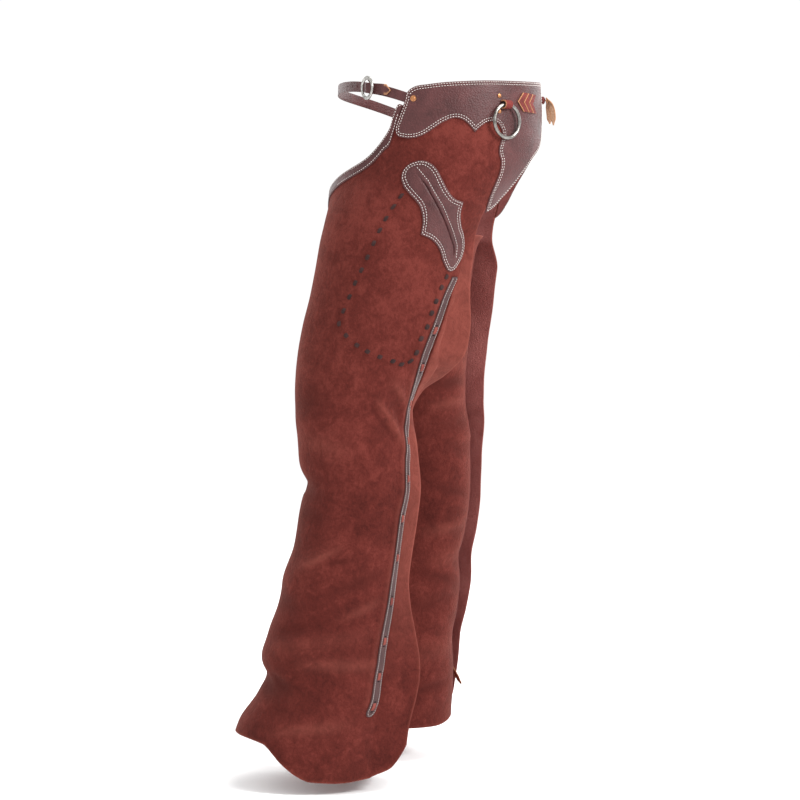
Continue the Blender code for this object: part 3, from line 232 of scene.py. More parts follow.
STRIP_HOOK, STRIP_HOOK_HEIGHTS = 0.009, (-862, -896)
STRIP_WIDENING, STRIP_WIDENING_HEIGHTS = 0.0055, (-640, -760)
CHEVRON_LACE, CHEVRON_SEAT = 9.0, 0.15

# Seams and the leather's edges, in millimetres from an edge or along a seam; CORNER_ANGLES are radians
OVERLAY_ROWS = (2.0, 5.2)
EDGE_DROP, EDGE_ROUNDING, SEAM_GROOVE, SEAM_GROOVE_WIDTH = 0.75, 1.3, 0.34, 0.6
CORNER_ANGLES = (0.0, 0.52, 1.05, 1.57)
PATCH_RINGS, SEAM_RINGS = (0.35, 0.8, 1.4), (-1.1, -0.45, 0, 0.45, 1.1)
PATCH_CELL, PATCH_ROW, PATCH_MARGIN, PATCH_RUB = 4.0, 3.48, 1.8, 1.6
BEND_MARGIN, BEND_ROOM = 1.0, 1.8

# Pressed forms across the rivet's mark and the pocket's welt: height, middle and width of each rise
RIVET_MARK, RIVET_MARK_RINGS = ((0.14, 6.0, 0.8), (-0.34, 7.3, 0.6)), (5.2, 6.0, 6.7, 7.3, 7.9, 8.7)
WELT_FORM, WELT_ROLL = ((-1.35, -3.1, 0.6), (-0.40, 1.7, 0.5), (0.8, -7.5, 3.4)), (1.2, -0.8, 1.9)
WELT_SIDES = (-9, -7, -5.5, -4.2, -3.6, -3.1, -2.7, -2.3, -1.6, -0.8, 0, 0.7, 1.1, 1.7, 2.3, 3.2)

# Stitches, and one stitch's form: the share of its length, its lift and the share of its radius
Stitch = namedtuple("Stitch", "pitch length radius")
SEAM_STITCH, STRIP_STITCH = Stitch(3.9, 2.3, 0.36), Stitch(3.3, 1.8, 0.26)
STITCH_FORM = (
    (0.0, -0.30, 0.45), (0.14, 0.10, 0.95), (0.5, 0.30, 1.0), (0.86, 0.10, 0.95), (1.0, -0.30, 0.45),
)
THREAD_SIDES = 6

# The binding's rows and profile are widths from the cut edge; its starts and ends are turns round the leg
BINDING_ROWS = (2.2, 11.8)
BINDING_STARTS, BINDING_END, BINDING_RUN_ENDS = (0.125, 0.20), 0.70, (0.695, 0.30)
BINDING_PROFILE = (0, 0.3, 0.8, 1.5, 2.4, 3.0, 3.6, 5, 7, 9, 10.4, 11, 11.6, 12.5, 13.2, 13.7, 14.0)
BINDING_STEPS, BINDING_RUB, TOP_EDGE_RUN = 170, 1.4, 22.0

# The strip's profile is in shares of its width, and its lace runs begin at heights
STRIP_PROFILE = (0, 0.03, 0.08, 0.14, 0.21, 0.30, 0.5, 0.70, 0.79, 0.86, 0.92, 0.97, 1.0)
STRIP_WIDTH, STRIP_ROW, STRIP_STEPS, STRIP_RUB = 13.0, 1.9, 240, 1.1
LACE_RUNS = (-341, -393, -445, -498, -551, -607, -662, -724, -780, -829, -871)
LACE_RUN, RUN_WIDTH, RUN_HALF_TURN = 11.0, 5.8, 0.0044
HOLE_SHIFT, HOLE_HALF_HEIGHT, HOLE_HALF_TURN, HOLE_TOP, HOLE_SINK = 1.2, 0.9, 0.0040, 0.12, 0.5

# The dark lace stitches and the welt's stitches, as angles round the hips and heights
BUCKSTITCHES = [
    (-8.6, -158.5), (-10, -173.5), (-11.2, -190), (-12.3, -206.5), (-14.1, -224.5), (-17, -244),
    (-20.1, -262), (-23.4, -280), (-26, -299.5), (-28.3, -319), (-29.4, -337), (-21.6, -353.5), (-12, -367),
    (-3.8, -376), (4.4, -383.5), (15, -389.5), (23.3, -394), (29.2, -389.5), (30.5, -377.5), (30.4, -358),
    (32.8, -341.5), (33.9, -322), (35.8, -305.5), (39.5, -286), (43.8, -271),
]
BUCKSTITCH_LENGTH, BUCKSTITCH_WIDTH = 8.6, 5.6
WELT_STITCHES = [
    (-7, -118), (-1.9, -130), (4.7, -146.5), (13.5, -163), (23, -178), (33, -194.5), (43.1, -211),
    (50.5, -229), (51.3, -244),
]
BELT_HOLE, BELT_HOLE_ANGLES = 2.6, (-50.5, -56.0, -61.5)

# The leg's grid, and its pale marks: edge wear, and painted highlight on raised folds, creases and the flap
FLAP_CELLS, OUTER_CELLS, INNER_CELLS, LENGTH_CELLS = 28, 96, 54, 238
OUTER_TURN, FLAP_CROWDING, FAR = 0.40, 1.4, 99.0
# Cut edges paler with wear; painted highlight on raised folds, creases and the loose flap behind the knee
EDGE_RUB, EDGE_RUB_WIDTH, FOLD_HIGHLIGHT, CREASE_HIGHLIGHT = 0.55, 1.8, 0.22, 0.26
FLAP_HIGHLIGHT, FLAP_HIGHLIGHT_TURN, FLAP_HIGHLIGHT_TOP, FLAP_HIGHLIGHT_END = 0.42, -0.15, (-215.0, -275.0), (-860.0, -620.0)

# Colours in linear light
SUEDE_TONES = (
    (0.048, 0.0074, 0.0054), (0.080, 0.0132, 0.0098), (0.122, 0.0235, 0.0178), (0.200, 0.054, 0.040),
)
GRAIN_TONES = ((0.200, 0.050, 0.045), (0.290, 0.090, 0.080), (0.340, 0.130, 0.115))
YOKE_TONES = ((0.040, 0.0085, 0.0085), (0.074, 0.019, 0.019), (0.120, 0.048, 0.046))
STRIP_TONES = ((0.030, 0.0098, 0.0098), (0.054, 0.0200, 0.0200), (0.105, 0.050, 0.048))
LACE_TONES = ((0.080, 0.008, 0.006), (0.150, 0.016, 0.012), (0.230, 0.055, 0.042))
SEAM_LACE_TONES = ((0.130, 0.024, 0.018), (0.220, 0.048, 0.036), (0.300, 0.090, 0.070))
DARK_LACE_TONES = ((0.014, 0.005, 0.0045), (0.036, 0.013, 0.012), (0.070, 0.036, 0.033))
# The lace holes are dark lenses of painted shade, not cut through the strip
HOLE_SHADE_TONES = ((0.006, 0.003, 0.003), (0.012, 0.006, 0.005), (0.020, 0.010, 0.010))
THONG_TONES = ((0.300, 0.165, 0.100), (0.440, 0.270, 0.175), (0.560, 0.380, 0.270))
RAW_LEATHER = (0.380, 0.180, 0.085)
SUEDE_SHEEN = (0.62, 0.22, 0.17, 1)
PEBBLES, PEBBLE_DEPTH = 430, 0.0006
STEEL_TONES = ((0.26, 0.25, 0.235), (0.11, 0.10, 0.09))
SILVER_TONES = ((0.52, 0.51, 0.49), (0.20, 0.19, 0.17))
COPPER_TONES = ((0.46, 0.21, 0.095), (0.24, 0.10, 0.045))
THREAD_TONES = ((0.80, 0.75, 0.71), (0.52, 0.46, 0.43))

# Camera and studio, in metres and watts, with the lens and sensor in millimetres and the tilt in degrees
CAMERA_PLACE, CAMERA_TILT, CAMERA_LENS = (3.6, -0.058, -0.3206), 2.075, 109.3
FLOOR_HEIGHT, FLOOR_REACH, SENSOR_WIDTH = -0.999, 40.0, 36.0
SKY_STRENGTH, LIGHT_TARGET = 1.03, (0, -0.05, -0.45)
STUDIO_LIGHTS = [
    ("key", (1.7, 2.7, 1.4), (1.0, 1.0), 135),
    ("fill", (2.7, -2.2, 0.5), (1.8, 1.8), 10),
    ("top", (0.6, 0.3, 2.4), (1.4, 1.4), 45),
    ("back_left", (-2.4, 1.6, 0.9), (1.8, 1.8), 26),
    ("back_right", (-2.4, -1.6, 0.9), (1.8, 1.8), 22),
]


def through(xs, ys, x):
    """A smooth curve through a table's points that doesn't overshoot them; xs go up."""
    xs, ys = np.asarray(xs, float), np.asarray(ys, float)
    rise = np.diff(ys) / np.diff(xs)
    before, after = np.append(rise[:1], rise), np.append(rise, rise[-1:])
    together = np.where(before + after == 0, 1, before + after)
    slope = np.where(before * after > 0, 2 * before * after / together, 0)
    x = np.clip(np.asarray(x, float), xs[0], xs[-1])
    i = np.clip(np.searchsorted(xs, x) - 1, 0, len(xs) - 2)
    width = xs[i + 1] - xs[i]
    t = (x - xs[i]) / width
    low = (2 * t**3 - 3 * t**2 + 1) * ys[i] + (t**3 - 2 * t**2 + t) * width * slope[i]
    high = (3 * t**2 - 2 * t**3) * ys[i + 1] + (t**3 - t**2) * width * slope[i + 1]
    return low + high


def ease(low, high, x):
    """From 0 to 1 between two values, with a soft start and end."""
    t = np.clip((x - low) / (high - low), 0.0, 1.0)
    return t * t * (3 - 2 * t)


def bells(rows, x):
    """The sum of bell-shaped rises, each with a height, a middle and a width."""
    return sum(height * np.exp(-((x - middle) / width)**2) for height, middle, width in rows)


def signed_power(value, exponent):
    """A power that keeps the value's sign."""
    return np.sign(value) * np.abs(value)**exponent


class LegForm:
    """The smooth form that one leg's leather lies on, drawn for the left and mirrored at the end."""

    def __init__(self, sections, folds, creases, hem, side):
        rows = sorted(sections, key=lambda row: row.z)
        self.table = {name: [getattr(row, name) for row in rows] for name in Section._fields}
        self.folds, self.creases, self.hem, self.side = folds, creases, hem, side
        self.levels = np.arange(rows[0].z, rows[-1].z + 0.25, 0.5)
        heights = self.table["z"]
        self.curves = {name: through(heights, self.table[name], self.levels) for name in Section._fields}

    def read(self, name, z):
        """One of the sections' columns at a height."""
        return np.interp(z, self.levels, self.curves[name])

    def oval(self, angle, z):
        """The place of an angle on the section at a height."""
        front, back, inner, outer = (self.read(name, z) for name in ("front", "back", "inner", "outer"))
        cosine, sine = np.cos(np.radians(angle)), np.sin(np.radians(angle))
        x = (inner + outer) / 2 + (outer - inner) / 2 * signed_power(cosine, 2 / SQUARENESS)
        y = (front + back) / 2 + (back - front) / 2 * signed_power(sine, 2 / SQUARENESS)
        return x, y

    def direction(self, angle, z):
        """The way round the oval towards the back, and the millimetres in a degree there."""
        before, after = self.oval(angle - 0.5, z), self.oval(angle + 0.5, z)
        x, y = after[0] - before[0], after[1] - before[1]
        length = np.hypot(x, y)
        return x / length, y / length, length

    def seam_angle(self, z):
        """The angle of the seam at a height."""
        front, back = self.read("front", z), self.read("back", z)
        share = np.clip((2 * self.read("seam", z) - front - back) / (back - front), -0.9999, 0.9999)
        return np.degrees(np.arcsin(signed_power(share, SQUARENESS / 2)))

    def angle_of(self, turn, z):
        """The angle of a turn round the leg from the seam."""
        follow = ((1 + np.cos(2 * np.pi * turn)) / 2)**2
        return RESTING_SEAM - 360 * turn + (self.seam_angle(z) - RESTING_SEAM) * follow

    def walk(self, angle, distance, z, steps=10):
        """The angle reached by going a distance round the oval towards the back."""
        for _ in range(steps):
            middle = angle + distance / steps / self.direction(angle, z)[2] / 2
            angle = angle + distance / steps / self.direction(middle, z)[2]
        return angle

    def plain(self, turn, z):
        """Points of the form without its folds."""
        start = self.seam_angle(z)
        angle = self.angle_of(np.maximum(turn, 0), z)
        x, y = self.oval(angle, z)
        along_x, along_y, _ = self.direction(angle, z)
        inset = (SUEDE + SEAM_CLEARANCE) * ease(0.86, 0.985, turn)
        x, y = x - along_y * inset, y + along_x * inset
        reach = -np.minimum(turn, 0) * self.read("flap", z)
        lift = np.radians(self.read("lift", z))
        lifted_x = along_x * np.cos(lift) + along_y * np.sin(lift)
        lifted_y = along_y * np.cos(lift) - along_x * np.sin(lift)
        round_x, round_y = self.oval(self.walk(start, reach, z), z)
        loose = ease(HIPS_END, HANGING_START, z)
        flap_x = (1 - loose) * round_x + loose * (x + lifted_x * reach)
        flap_y = (1 - loose) * round_y + loose * (y + lifted_y * reach)
        return np.stack([np.where(turn < 0, flap_x, x), np.where(turn < 0, flap_y, y), z], axis=-1)

    def fold_height(self, turn, z):
        """How far the folds push the leather out of the plain form."""
        folds = self.raised(self.folds, turn, z) + self.creasing(turn, z)
        return folds * ease(1.0, 0.95, turn) + self.dressing(turn, z)

    def raised(self, folds, turn, z):
        """The height of a list of folds, whose ends lie at angles counted in even millimetres."""
        flap = -np.minimum(turn, 0) * self.read("flap", z) / MM_PER_DEGREE
        across = (self.angle_of(np.maximum(turn, 0), z) + flap) * MM_PER_DEGREE
        height = np.zeros_like(z)
        for fold in folds:
            start = np.array([fold.angle_a * MM_PER_DEGREE, fold.z_a])
            line = np.array([fold.angle_b * MM_PER_DEGREE, fold.z_b]) - start
            share = ((across - start[0]) * line[0] + (z - start[1]) * line[1]) / (line @ line)
            share = np.clip(share, 0, 1)
            distance = np.hypot(across - start[0] - share * line[0], z - start[1] - share * line[1])
            fading = 0.35 + 0.65 * np.sin(np.pi * share)
            height += fold.height * np.exp(-(distance / fold.width)**2) * fading
        return height

    def creasing(self, turn, z):
        """The height of the finer creases alone."""
        return self.raised(self.creases, turn, z)

    def dressing(self, turn, z):
        """The ridge in front of the laced strip, and the rolled lip behind it at the knee's back."""
        along = ease(STRIP_TOP, STRIP_TOP - 30, z) * ease(STRIP_END, STRIP_END + 20, z)
        past = (turn - SEAM_RIDGE_TURN - strip_widening(z)) / SEAM_RIDGE_WIDTH
        ridge = SEAM_RIDGE * np.exp(-past**2) * along
        back = -np.minimum(turn, 0) * self.read("flap", z)
        heights, reaches = zip(*LIP_REACH)
        reach = through(heights, reaches, z)
        lip = LIP_HEIGHT * ease(0.2, 2.4, back) * (1 - ease(reach, reach + LIP_FALL, back))
        shown = ease(heights[-1], heights[-1] - 14, z) * ease(heights[0], heights[0] + 14, z)
        return ridge + lip * shown

    def normal(self, surface, turn, z):
        """The outward normal of a surface of the form, by differences."""
        step_turn = np.where(turn < 0, 0.04, 0.004)
        step_z = 2.0
        along = surface(turn + step_turn, z) - surface(turn - step_turn, z)
        up = surface(turn, z + step_z) - surface(turn, z - step_z)
        outward = np.cross(up, along)
        return outward / np.linalg.norm(outward, axis=-1, keepdims=True)

    def folded(self, turn, z):
        """Points of the form with its folds."""
        turn, z = np.broadcast_arrays(np.asarray(turn, float), np.asarray(z, float))
        return self.plain(turn, z) + self.normal(self.plain, turn, z) * self.fold_height(turn, z)[..., None]

    def placed(self, turn, z, *heights):
        """Points over the leather at each height, in metres, on this leg's own side of the body."""
        turn, z = np.broadcast_arrays(np.asarray(turn, float), np.asarray(z, float))
        points, normals = self.folded(turn, z), self.normal(self.folded, turn, z)
        heights = [np.broadcast_to(height, z.shape)[..., None] for height in heights]
        layers = [(points + normals * height) * (self.side, 1, 1) * MM for height in heights]
        return layers[0] if len(layers) == 1 else layers

    def arc(self, angle, z, steps=30):
        """Millimetres round the oval from angle 0, more towards the back."""
        total = np.zeros(np.broadcast(angle, z).shape)
        for step in range(steps):
            total += self.direction(angle * (step + 0.5) / steps, z)[2] * angle / steps
        return total

    def turn_at(self, across, z):
        """The turn of a place given in millimetres round the oval from angle 0."""
        angle = self.walk(np.zeros_like(across), across, z, steps=30)
        seam = self.arc(self.seam_angle(z), z)
        low, high = np.zeros_like(across), np.ones_like(across)
        for _ in range(26):
            middle = (low + high) / 2
            short = self.angle_of(middle, z) > angle
            low, high = np.where(short, middle, low), np.where(short, high, middle)
        return np.where(across > seam, (seam - across) / self.read("flap", z), low)

    def over(self, places, *heights):
        """Points over the leather from places given as millimetres round and height above the waist."""
        turn = self.turn_at(places[..., 0], places[..., 1])
        return self.placed(turn, places[..., 1], *heights)

    def top(self, turn):
        """The height of the leather's upper edge."""
        return through(*zip(*TOP_EDGE), turn)

    def bottom(self, turn):
        """The height of the hem."""
        return through(*zip(*self.hem), turn)


def add_piece(name, points, faces, materials, body="chaps", slots=None, smooth_angle=38):
    """A new object from points in metres, with its faces turned outwards."""
    mesh = bpy.data.meshes.new(name)
    mesh.from_pydata([tuple(point) for point in points], [], [tuple(face) for face in faces])
    for made in materials:
        mesh.materials.append(made)
    if slots is not None:
        mesh.polygons.foreach_set("material_index", np.asarray(slots, dtype=np.int32))
    shape = bmesh.new()
    shape.from_mesh(mesh)
    bmesh.ops.recalc_face_normals(shape, faces=shape.faces)
    shape.to_mesh(mesh)
    shape.free()
    mesh.shade_smooth()
    mesh.set_sharp_from_angle(angle=math.radians(smooth_angle))
    piece = bpy.data.objects.new(name, mesh)
    bpy.context.scene.collection.objects.link(piece)
    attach(piece, body)
    return piece


def shell(top, bottom, faces, rim):
    """A closed thin shell's points, faces and kind of each face: 0 outside, 1 inside, 2 cut edge."""
    count = len(top)
    outside = [tuple(face) for face in faces]
    inside = [tuple(index + count for index in reversed(face)) for face in faces]
    edge = [(a, b, b + count, a + count) for a, b in zip(rim, np.roll(rim, -1))]
    kinds = [0] * len(outside) + [1] * len(inside) + [2] * len(edge)
    return np.concatenate([top, bottom]), outside + inside + edge, kinds


def grid_faces(columns, rows):
    """The quads of a grid stored column by column, and the loop of points round its edge."""
    at = np.arange(columns * rows).reshape(columns, rows)
    faces = np.stack([at[:-1, :-1], at[1:, :-1], at[1:, 1:], at[:-1, 1:]], axis=-1).reshape(-1, 4)
    rim = np.concatenate([at[:-1, 0], at[-1, :-1], at[:0:-1, -1], at[0, :0:-1]])
    return faces, rim


def set_shade(piece, name, values):
    """A number kept at each point of a piece for its material to read."""
    attribute = piece.data.attributes.new(name, "FLOAT", "POINT")
    attribute.data.foreach_set("value", np.asarray(values, dtype=np.float32))


def outline_line(form, marks, spacing=2.0):
    """An outline as close points in flat millimetres: smooth curves, with the marked corners sharp."""
    points = np.array([(float(form.arc(mark.angle, mark.z)), mark.z) for mark in marks])
    line = []
    for i in range(len(marks)):
        start, end = points[i], points[(i + 1) % len(marks)]
        chord = end - start
        length = np.hypot(*chord)
        leave = chord / 3 if marks[i].corner else handle(points, i) * length * 0.39
        arrive = chord / 3 if marks[(i + 1) % len(marks)].corner else handle(points, i + 1) * length * 0.39
        for t in np.arange(0, 1, 1 / max(2, round(length / spacing))):
            line.append((1 - t)**3 * start + 3 * (1 - t)**2 * t * (start + leave)
                        + 3 * (1 - t) * t**2 * (end - arrive) + t**3 * end)
    return np.array(line)


def handle(points, i):
    """The direction of a smooth curve at one of a loop's points."""
    here = points[i % len(points)]
    back, ahead = here - points[(i - 1) % len(points)], points[(i + 1) % len(points)] - here
    along = back / np.hypot(*back) + ahead / np.hypot(*ahead)
    return along / np.hypot(*along)


def edge_distance(places, line):
    """How far each place is from a closed line, and whether it is inside it."""
    starts, ends = line, np.roll(line, -1, axis=0)
    nearest = np.full(len(places), np.inf)
    inside = np.zeros(len(places), bool)
    for start, end in zip(starts, ends):
        chord = end - start
        share = np.clip((places - start) @ chord / max(chord @ chord, 1e-9), 0, 1)
        nearest = np.minimum(nearest, np.hypot(*(places - start - share[:, None] * chord).T))
        if start[1] != end[1]:
            spans = (start[1] > places[:, 1]) != (end[1] > places[:, 1])
            cross = start[0] + (places[:, 1] - start[1]) * chord[0] / chord[1]
            inside ^= spans & (places[:, 0] < cross)
    return nearest, inside


def inset_line(line, distance):
    """The points of a closed line moved in by a distance, where they really lie that far in."""
    along = np.roll(line, -1, axis=0) - np.roll(line, 1, axis=0)
    along /= np.linalg.norm(along, axis=1, keepdims=True)
    area = np.sum(line[:, 0] * np.roll(line[:, 1], -1) - np.roll(line[:, 0], -1) * line[:, 1])
    inward = np.stack([-along[:, 1], along[:, 0]], axis=1) * np.sign(area)
    moved = line + inward * distance
    nearest, inside = edge_distance(moved, line)
    return moved[inside & (nearest > distance * 0.97)]


def edge_profile(distance, rows):
    """How far a leather patch's face lies under its full height, at a distance from its cut edge."""
    drop = EDGE_DROP * (1 - np.clip(distance / EDGE_ROUNDING, 0, 1))**2
    for row in rows:
        drop = drop + SEAM_GROOVE * np.exp(-((distance - row) / SEAM_GROOVE_WIDTH)**2)
    return drop


def patch(name, form, line, rows, finishes, relief, bends):
    """A leather patch cut to a flat outline and laid on the leg, with a rounded edge and sunken seams.

    relief gives the extra height at flat places, and bends are the places that its form needs.
    """
    rings = sorted(PATCH_RINGS + tuple(row + beside for row in rows for beside in SEAM_RINGS))
    layers = [inset_line(line, distance) for distance in rings]
    reach = rings[-1] + PATCH_MARGIN
    across = np.arange(line[:, 0].min(), line[:, 0].max(), PATCH_CELL)
    up = np.arange(line[:, 1].min(), line[:, 1].max(), PATCH_ROW)
    field = np.array([(a + (k % 2) * PATCH_CELL / 2, z) for k, z in enumerate(up) for a in across])
    nearest, inside = edge_distance(field, line)
    field = field[inside & (nearest > reach)]
    nearest, inside = edge_distance(bends, line)
    bends = bends[inside & (nearest > reach - BEND_MARGIN)]
    apart = np.hypot(*(field[:, None] - bends).T).min(axis=0)
    places = np.concatenate([line] + layers + [field[apart > BEND_ROOM], bends])
    border = [(i, (i + 1) % len(line)) for i in range(len(line))]
    flat, _, faces, _, _, _ = delaunay_2d_cdt([Vector(place) for place in places], border, [], 1, 1e-4)
    flat = np.array([tuple(place) for place in flat])
    nearest, _ = edge_distance(flat, line)
    height = OVERLAY_TOP - edge_profile(nearest, rows) + relief(flat)
    top, bottom = form.over(flat, height, GAP)
    points, faces, kinds = shell(top, bottom, faces, border_loop(faces))
    piece = add_piece(name, points, faces, finishes, slots=[kind % 2 for kind in kinds])
    set_shade(piece, "wear_and_painted_light", np.tile(np.exp(-(nearest / PATCH_RUB)**2), 2))
    return piece


def circle(count):
    """Angles spread evenly once round."""
    return np.linspace(0, 2 * math.pi, count, endpoint=False)


def wound_faces(rings, size, ends="capped"):
    """The faces of a skin stored ring by ring, with ends that are capped, open or joined."""
    at = np.arange(rings * size).reshape(rings, size)
    after = np.roll(at, -1, axis=0)
    quads = np.stack([at, np.roll(at, -1, axis=1), np.roll(after, -1, axis=1), after], axis=-1)
    if ends == "joined":
        return quads.reshape(-1, 4).tolist()
    caps = [at[0].tolist(), at[-1, ::-1].tolist()] if ends == "capped" else []
    return quads[:-1].reshape(-1, 4).tolist() + caps


def shifted(faces, count):
    """Faces for points that come after a number of others."""
    return [[index + count for index in face] for face in faces]


def border_loop(faces):
    """The points round the edge of a patch of triangles, in order."""
    sides = {(a, b) for face in faces for a, b in zip(face, tuple(face[1:]) + (face[0],))}
    follow = {a: b for a, b in sides if (b, a) not in sides}
    start = min(follow)
    loop, here = [start], follow[start]
    while here != start:
        loop.append(here)
        here = follow[here]
    return np.array(loop)


class Finish:
    """A material, with short calls for the nodes that all these materials share."""

    def __init__(self, name, roughness, metallic=0.0, sheen=0.0, specular=0.5):
        self.material = bpy.data.materials.new(name)
        self.material.use_nodes = True
        self.tree = self.material.node_tree
        self.shader = self.tree.nodes["Principled BSDF"]
        self.place = self.tree.nodes.new("ShaderNodeTexCoord").outputs["Object"]
        self.set(Roughness=roughness, Metallic=metallic, Sheen_Weight=sheen, Sheen_Roughness=0.45,
                 Specular_IOR_Level=specular)

    def set(self, **values):
        """Set or link the shader's own sockets."""
        for name, value in values.items():
            self.feed(self.shader.inputs[name.replace("_", " ")], value)

    def feed(self, socket, value):
        """Set a socket to a number or a tuple, or link another node's output to it."""
        if isinstance(value, bpy.types.NodeSocket):
            self.tree.links.new(value, socket)
        else:
            socket.default_value = value

    def add(self, kind, **values):
        """A new node with its sockets set or linked by their names."""
        node = self.tree.nodes.new("ShaderNode" + kind)
        for name, value in values.items():
            self.feed(node.inputs[name.replace("_", " ")], value)
        return node

    def stretched(self, factors):
        """The places in the object's own space, scaled along each axis."""
        return self.add("Mapping", Vector=self.place, Scale=factors).outputs["Vector"]

    def noise(self, scale, detail=3.0, rough=0.55, distortion=0.0, place=None):
        """Soft clouds from 0 to 1."""
        node = self.add("TexNoise", Vector=place or self.place, Scale=scale, Detail=detail, Roughness=rough,
                        Distortion=distortion)
        return node.outputs["Fac"]

    def cells(self, scale):
        """The distance from the middles of scattered cells."""
        return self.add("TexVoronoi", Vector=self.place, Scale=scale).outputs["Distance"]

    def shade(self, name):
        """A number kept at the mesh's points."""
        node = self.add("Attribute")
        node.attribute_name = name
        return node.outputs["Fac"]

    def height(self, low, high):
        """From 0 to 1 between two heights in metres, for light painted on the higher parts."""
        parts = self.add("SeparateXYZ", Vector=self.place)
        return self.add("MapRange", Value=parts.outputs["Z"], From_Min=low, From_Max=high).outputs["Result"]

    def maths(self, operation, first, second, clamp=False):
        """A sum or product of two values."""
        node = self.add("Math")
        node.operation = operation
        node.use_clamp = clamp
        self.feed(node.inputs[0], first)
        self.feed(node.inputs[1], second)
        return node.outputs[0]

    def mixed(self, *parts):
        """The sum of values, each multiplied by its share."""
        total = None
        for value, share in parts:
            part = self.maths("MULTIPLY", value, share)
            total = part if total is None else self.maths("ADD", total, part)
        return total

    def ramp(self, value, stops):
        """Colours picked by a value from stops along the way from 0 to 1."""
        node = self.add("ValToRGB", Fac=value)
        band = node.color_ramp
        while len(band.elements) < len(stops):
            band.elements.new(0.5)
        for element, (at, colour) in zip(band.elements, stops):
            element.position = at
            element.color = (*colour, 1)
        return node.outputs["Color"]

    def blend(self, share, first, second):
        """The first colour turned into a fixed second one by a share."""
        node = self.add("Mix")
        node.data_type = "RGBA"
        for index, value in ((0, share), (6, first), (7, (*second, 1))):
            self.feed(node.inputs[index], value)
        return node.outputs[2]

    def bump(self, height, distance, strength, under=None):
        """A normal bent by a height, over another one where there is one."""
        node = self.add("Bump", Height=height, Distance=distance, Strength=strength)
        if under is not None:
            self.feed(node.inputs["Normal"], under)
        return node.outputs["Normal"]


def suede_finish(name):
    """Roughout: a napped face with soft patches and brushed marks, pale along its cut edges, with painted
    light and shade.
    """
    made = Finish(name, 0.95, sheen=0.22, specular=0.12)
    made.set(Sheen_Tint=SUEDE_SHEEN)
    patches = made.noise(11, 3, 0.6, 0.4)
    blots = made.noise(55, 4, 0.62, 0.8)
    strokes = made.noise(260, 4, 0.7, 0.4, made.stretched((1, 1, 0.8)))
    nap = made.noise(780, 3, 0.7)
    # Painted light: the nap is a little lighter higher up and darker towards the hem
    painted_light_upwards = made.height(-0.80, -0.20)
    tone = made.mixed((patches, 0.30), (blots, 0.28), (strokes, 0.24), (nap, 0.18), (painted_light_upwards, 0.05))
    dark, middle, light, pale = SUEDE_TONES
    colour = made.ramp(tone, [(0.42, dark), (0.525, middle), (0.62, light)])
    # Painted shade in the troughs of folds and creases
    colour = made.blend(made.maths("MULTIPLY", made.shade("painted_crease_shade"), 0.85), colour, dark)
    # Paler with edge wear, and with painted highlight on raised folds, creases and the loose flap
    paled_by_wear_and_light = made.maths("MULTIPLY", made.shade("wear_and_painted_light"), made.maths("ADD", 0.35, blots), clamp=True)
    colour = made.blend(paled_by_wear_and_light, colour, pale)
    rough = made.bump(nap, 0.0011, 0.5)
    rough = made.bump(strokes, 0.0018, 0.5, rough)
    made.set(Base_Color=colour, Normal=made.bump(blots, 0.0030, 0.4, rough))
    return made.material


def smooth_finish(name, tones, roughness=0.50, specular=0.32, coat=0.03):
    """Smooth pebbled leather: fine rounded grain, soft mottling, paler along its edges."""
    made = Finish(name, roughness, specular=specular)
    dark, light, pale = tones
    mottle = made.noise(26, 4, 0.6, 0.6)
    small = made.noise(PEBBLES * 0.9, 3, 0.6, 0.3)
    colour = made.ramp(made.mixed((mottle, 0.7), (small, 0.3)), [(0.38, dark), (0.62, light)])
    # Paler along its edges with wear; on the leg's inside also with painted highlight on folds and the flap
    colour = made.blend(made.maths("MULTIPLY", made.shade("wear_and_painted_light"), 0.28), colour, pale)
    colour = made.blend(made.shade("raw"), colour, RAW_LEATHER)
    rough = made.bump(made.cells(PEBBLES), PEBBLE_DEPTH, 0.8)
    rough = made.bump(small, PEBBLE_DEPTH * 1.3, 0.7, rough)
    gloss = made.maths("ADD", roughness - 0.10, made.maths("MULTIPLY", small, 0.2))
    made.set(Coat_Weight=coat, Coat_Roughness=0.35, Base_Color=colour, Normal=rough, Roughness=gloss)
    return made.material


def metal_finish(name, tones, roughness, scale=160):
    """Handled metal: a clean colour with darker spots in it and fine rubbing marks."""
    made = Finish(name, roughness, metallic=1.0)
    light, dark = tones
    clouds = made.noise(scale, 4, 0.6, 0.3)
    scratches = made.noise(900, 2, 0.5, 0.0, made.stretched((1, 1, 0.12)))
    gloss = made.maths("ADD", roughness - 0.06, made.maths("MULTIPLY", clouds, 0.14))
    made.set(Base_Color=made.ramp(clouds, [(0.30, dark), (0.62, light)]), Roughness=gloss,
             Normal=made.bump(scratches, 0.00006, 0.4))
    return made.material


def thread_finish(name):
    """Waxed thread with its twist."""
    made = Finish(name, 0.6, sheen=0.2, specular=0.4)
    light, dark = THREAD_TONES
    twist = made.noise(2600, 2, 0.5)
    made.set(Base_Color=made.ramp(twist, [(0.35, dark), (0.6, light)]))
    made.set(Normal=made.bump(twist, 0.0001, 0.5))
    return made.material


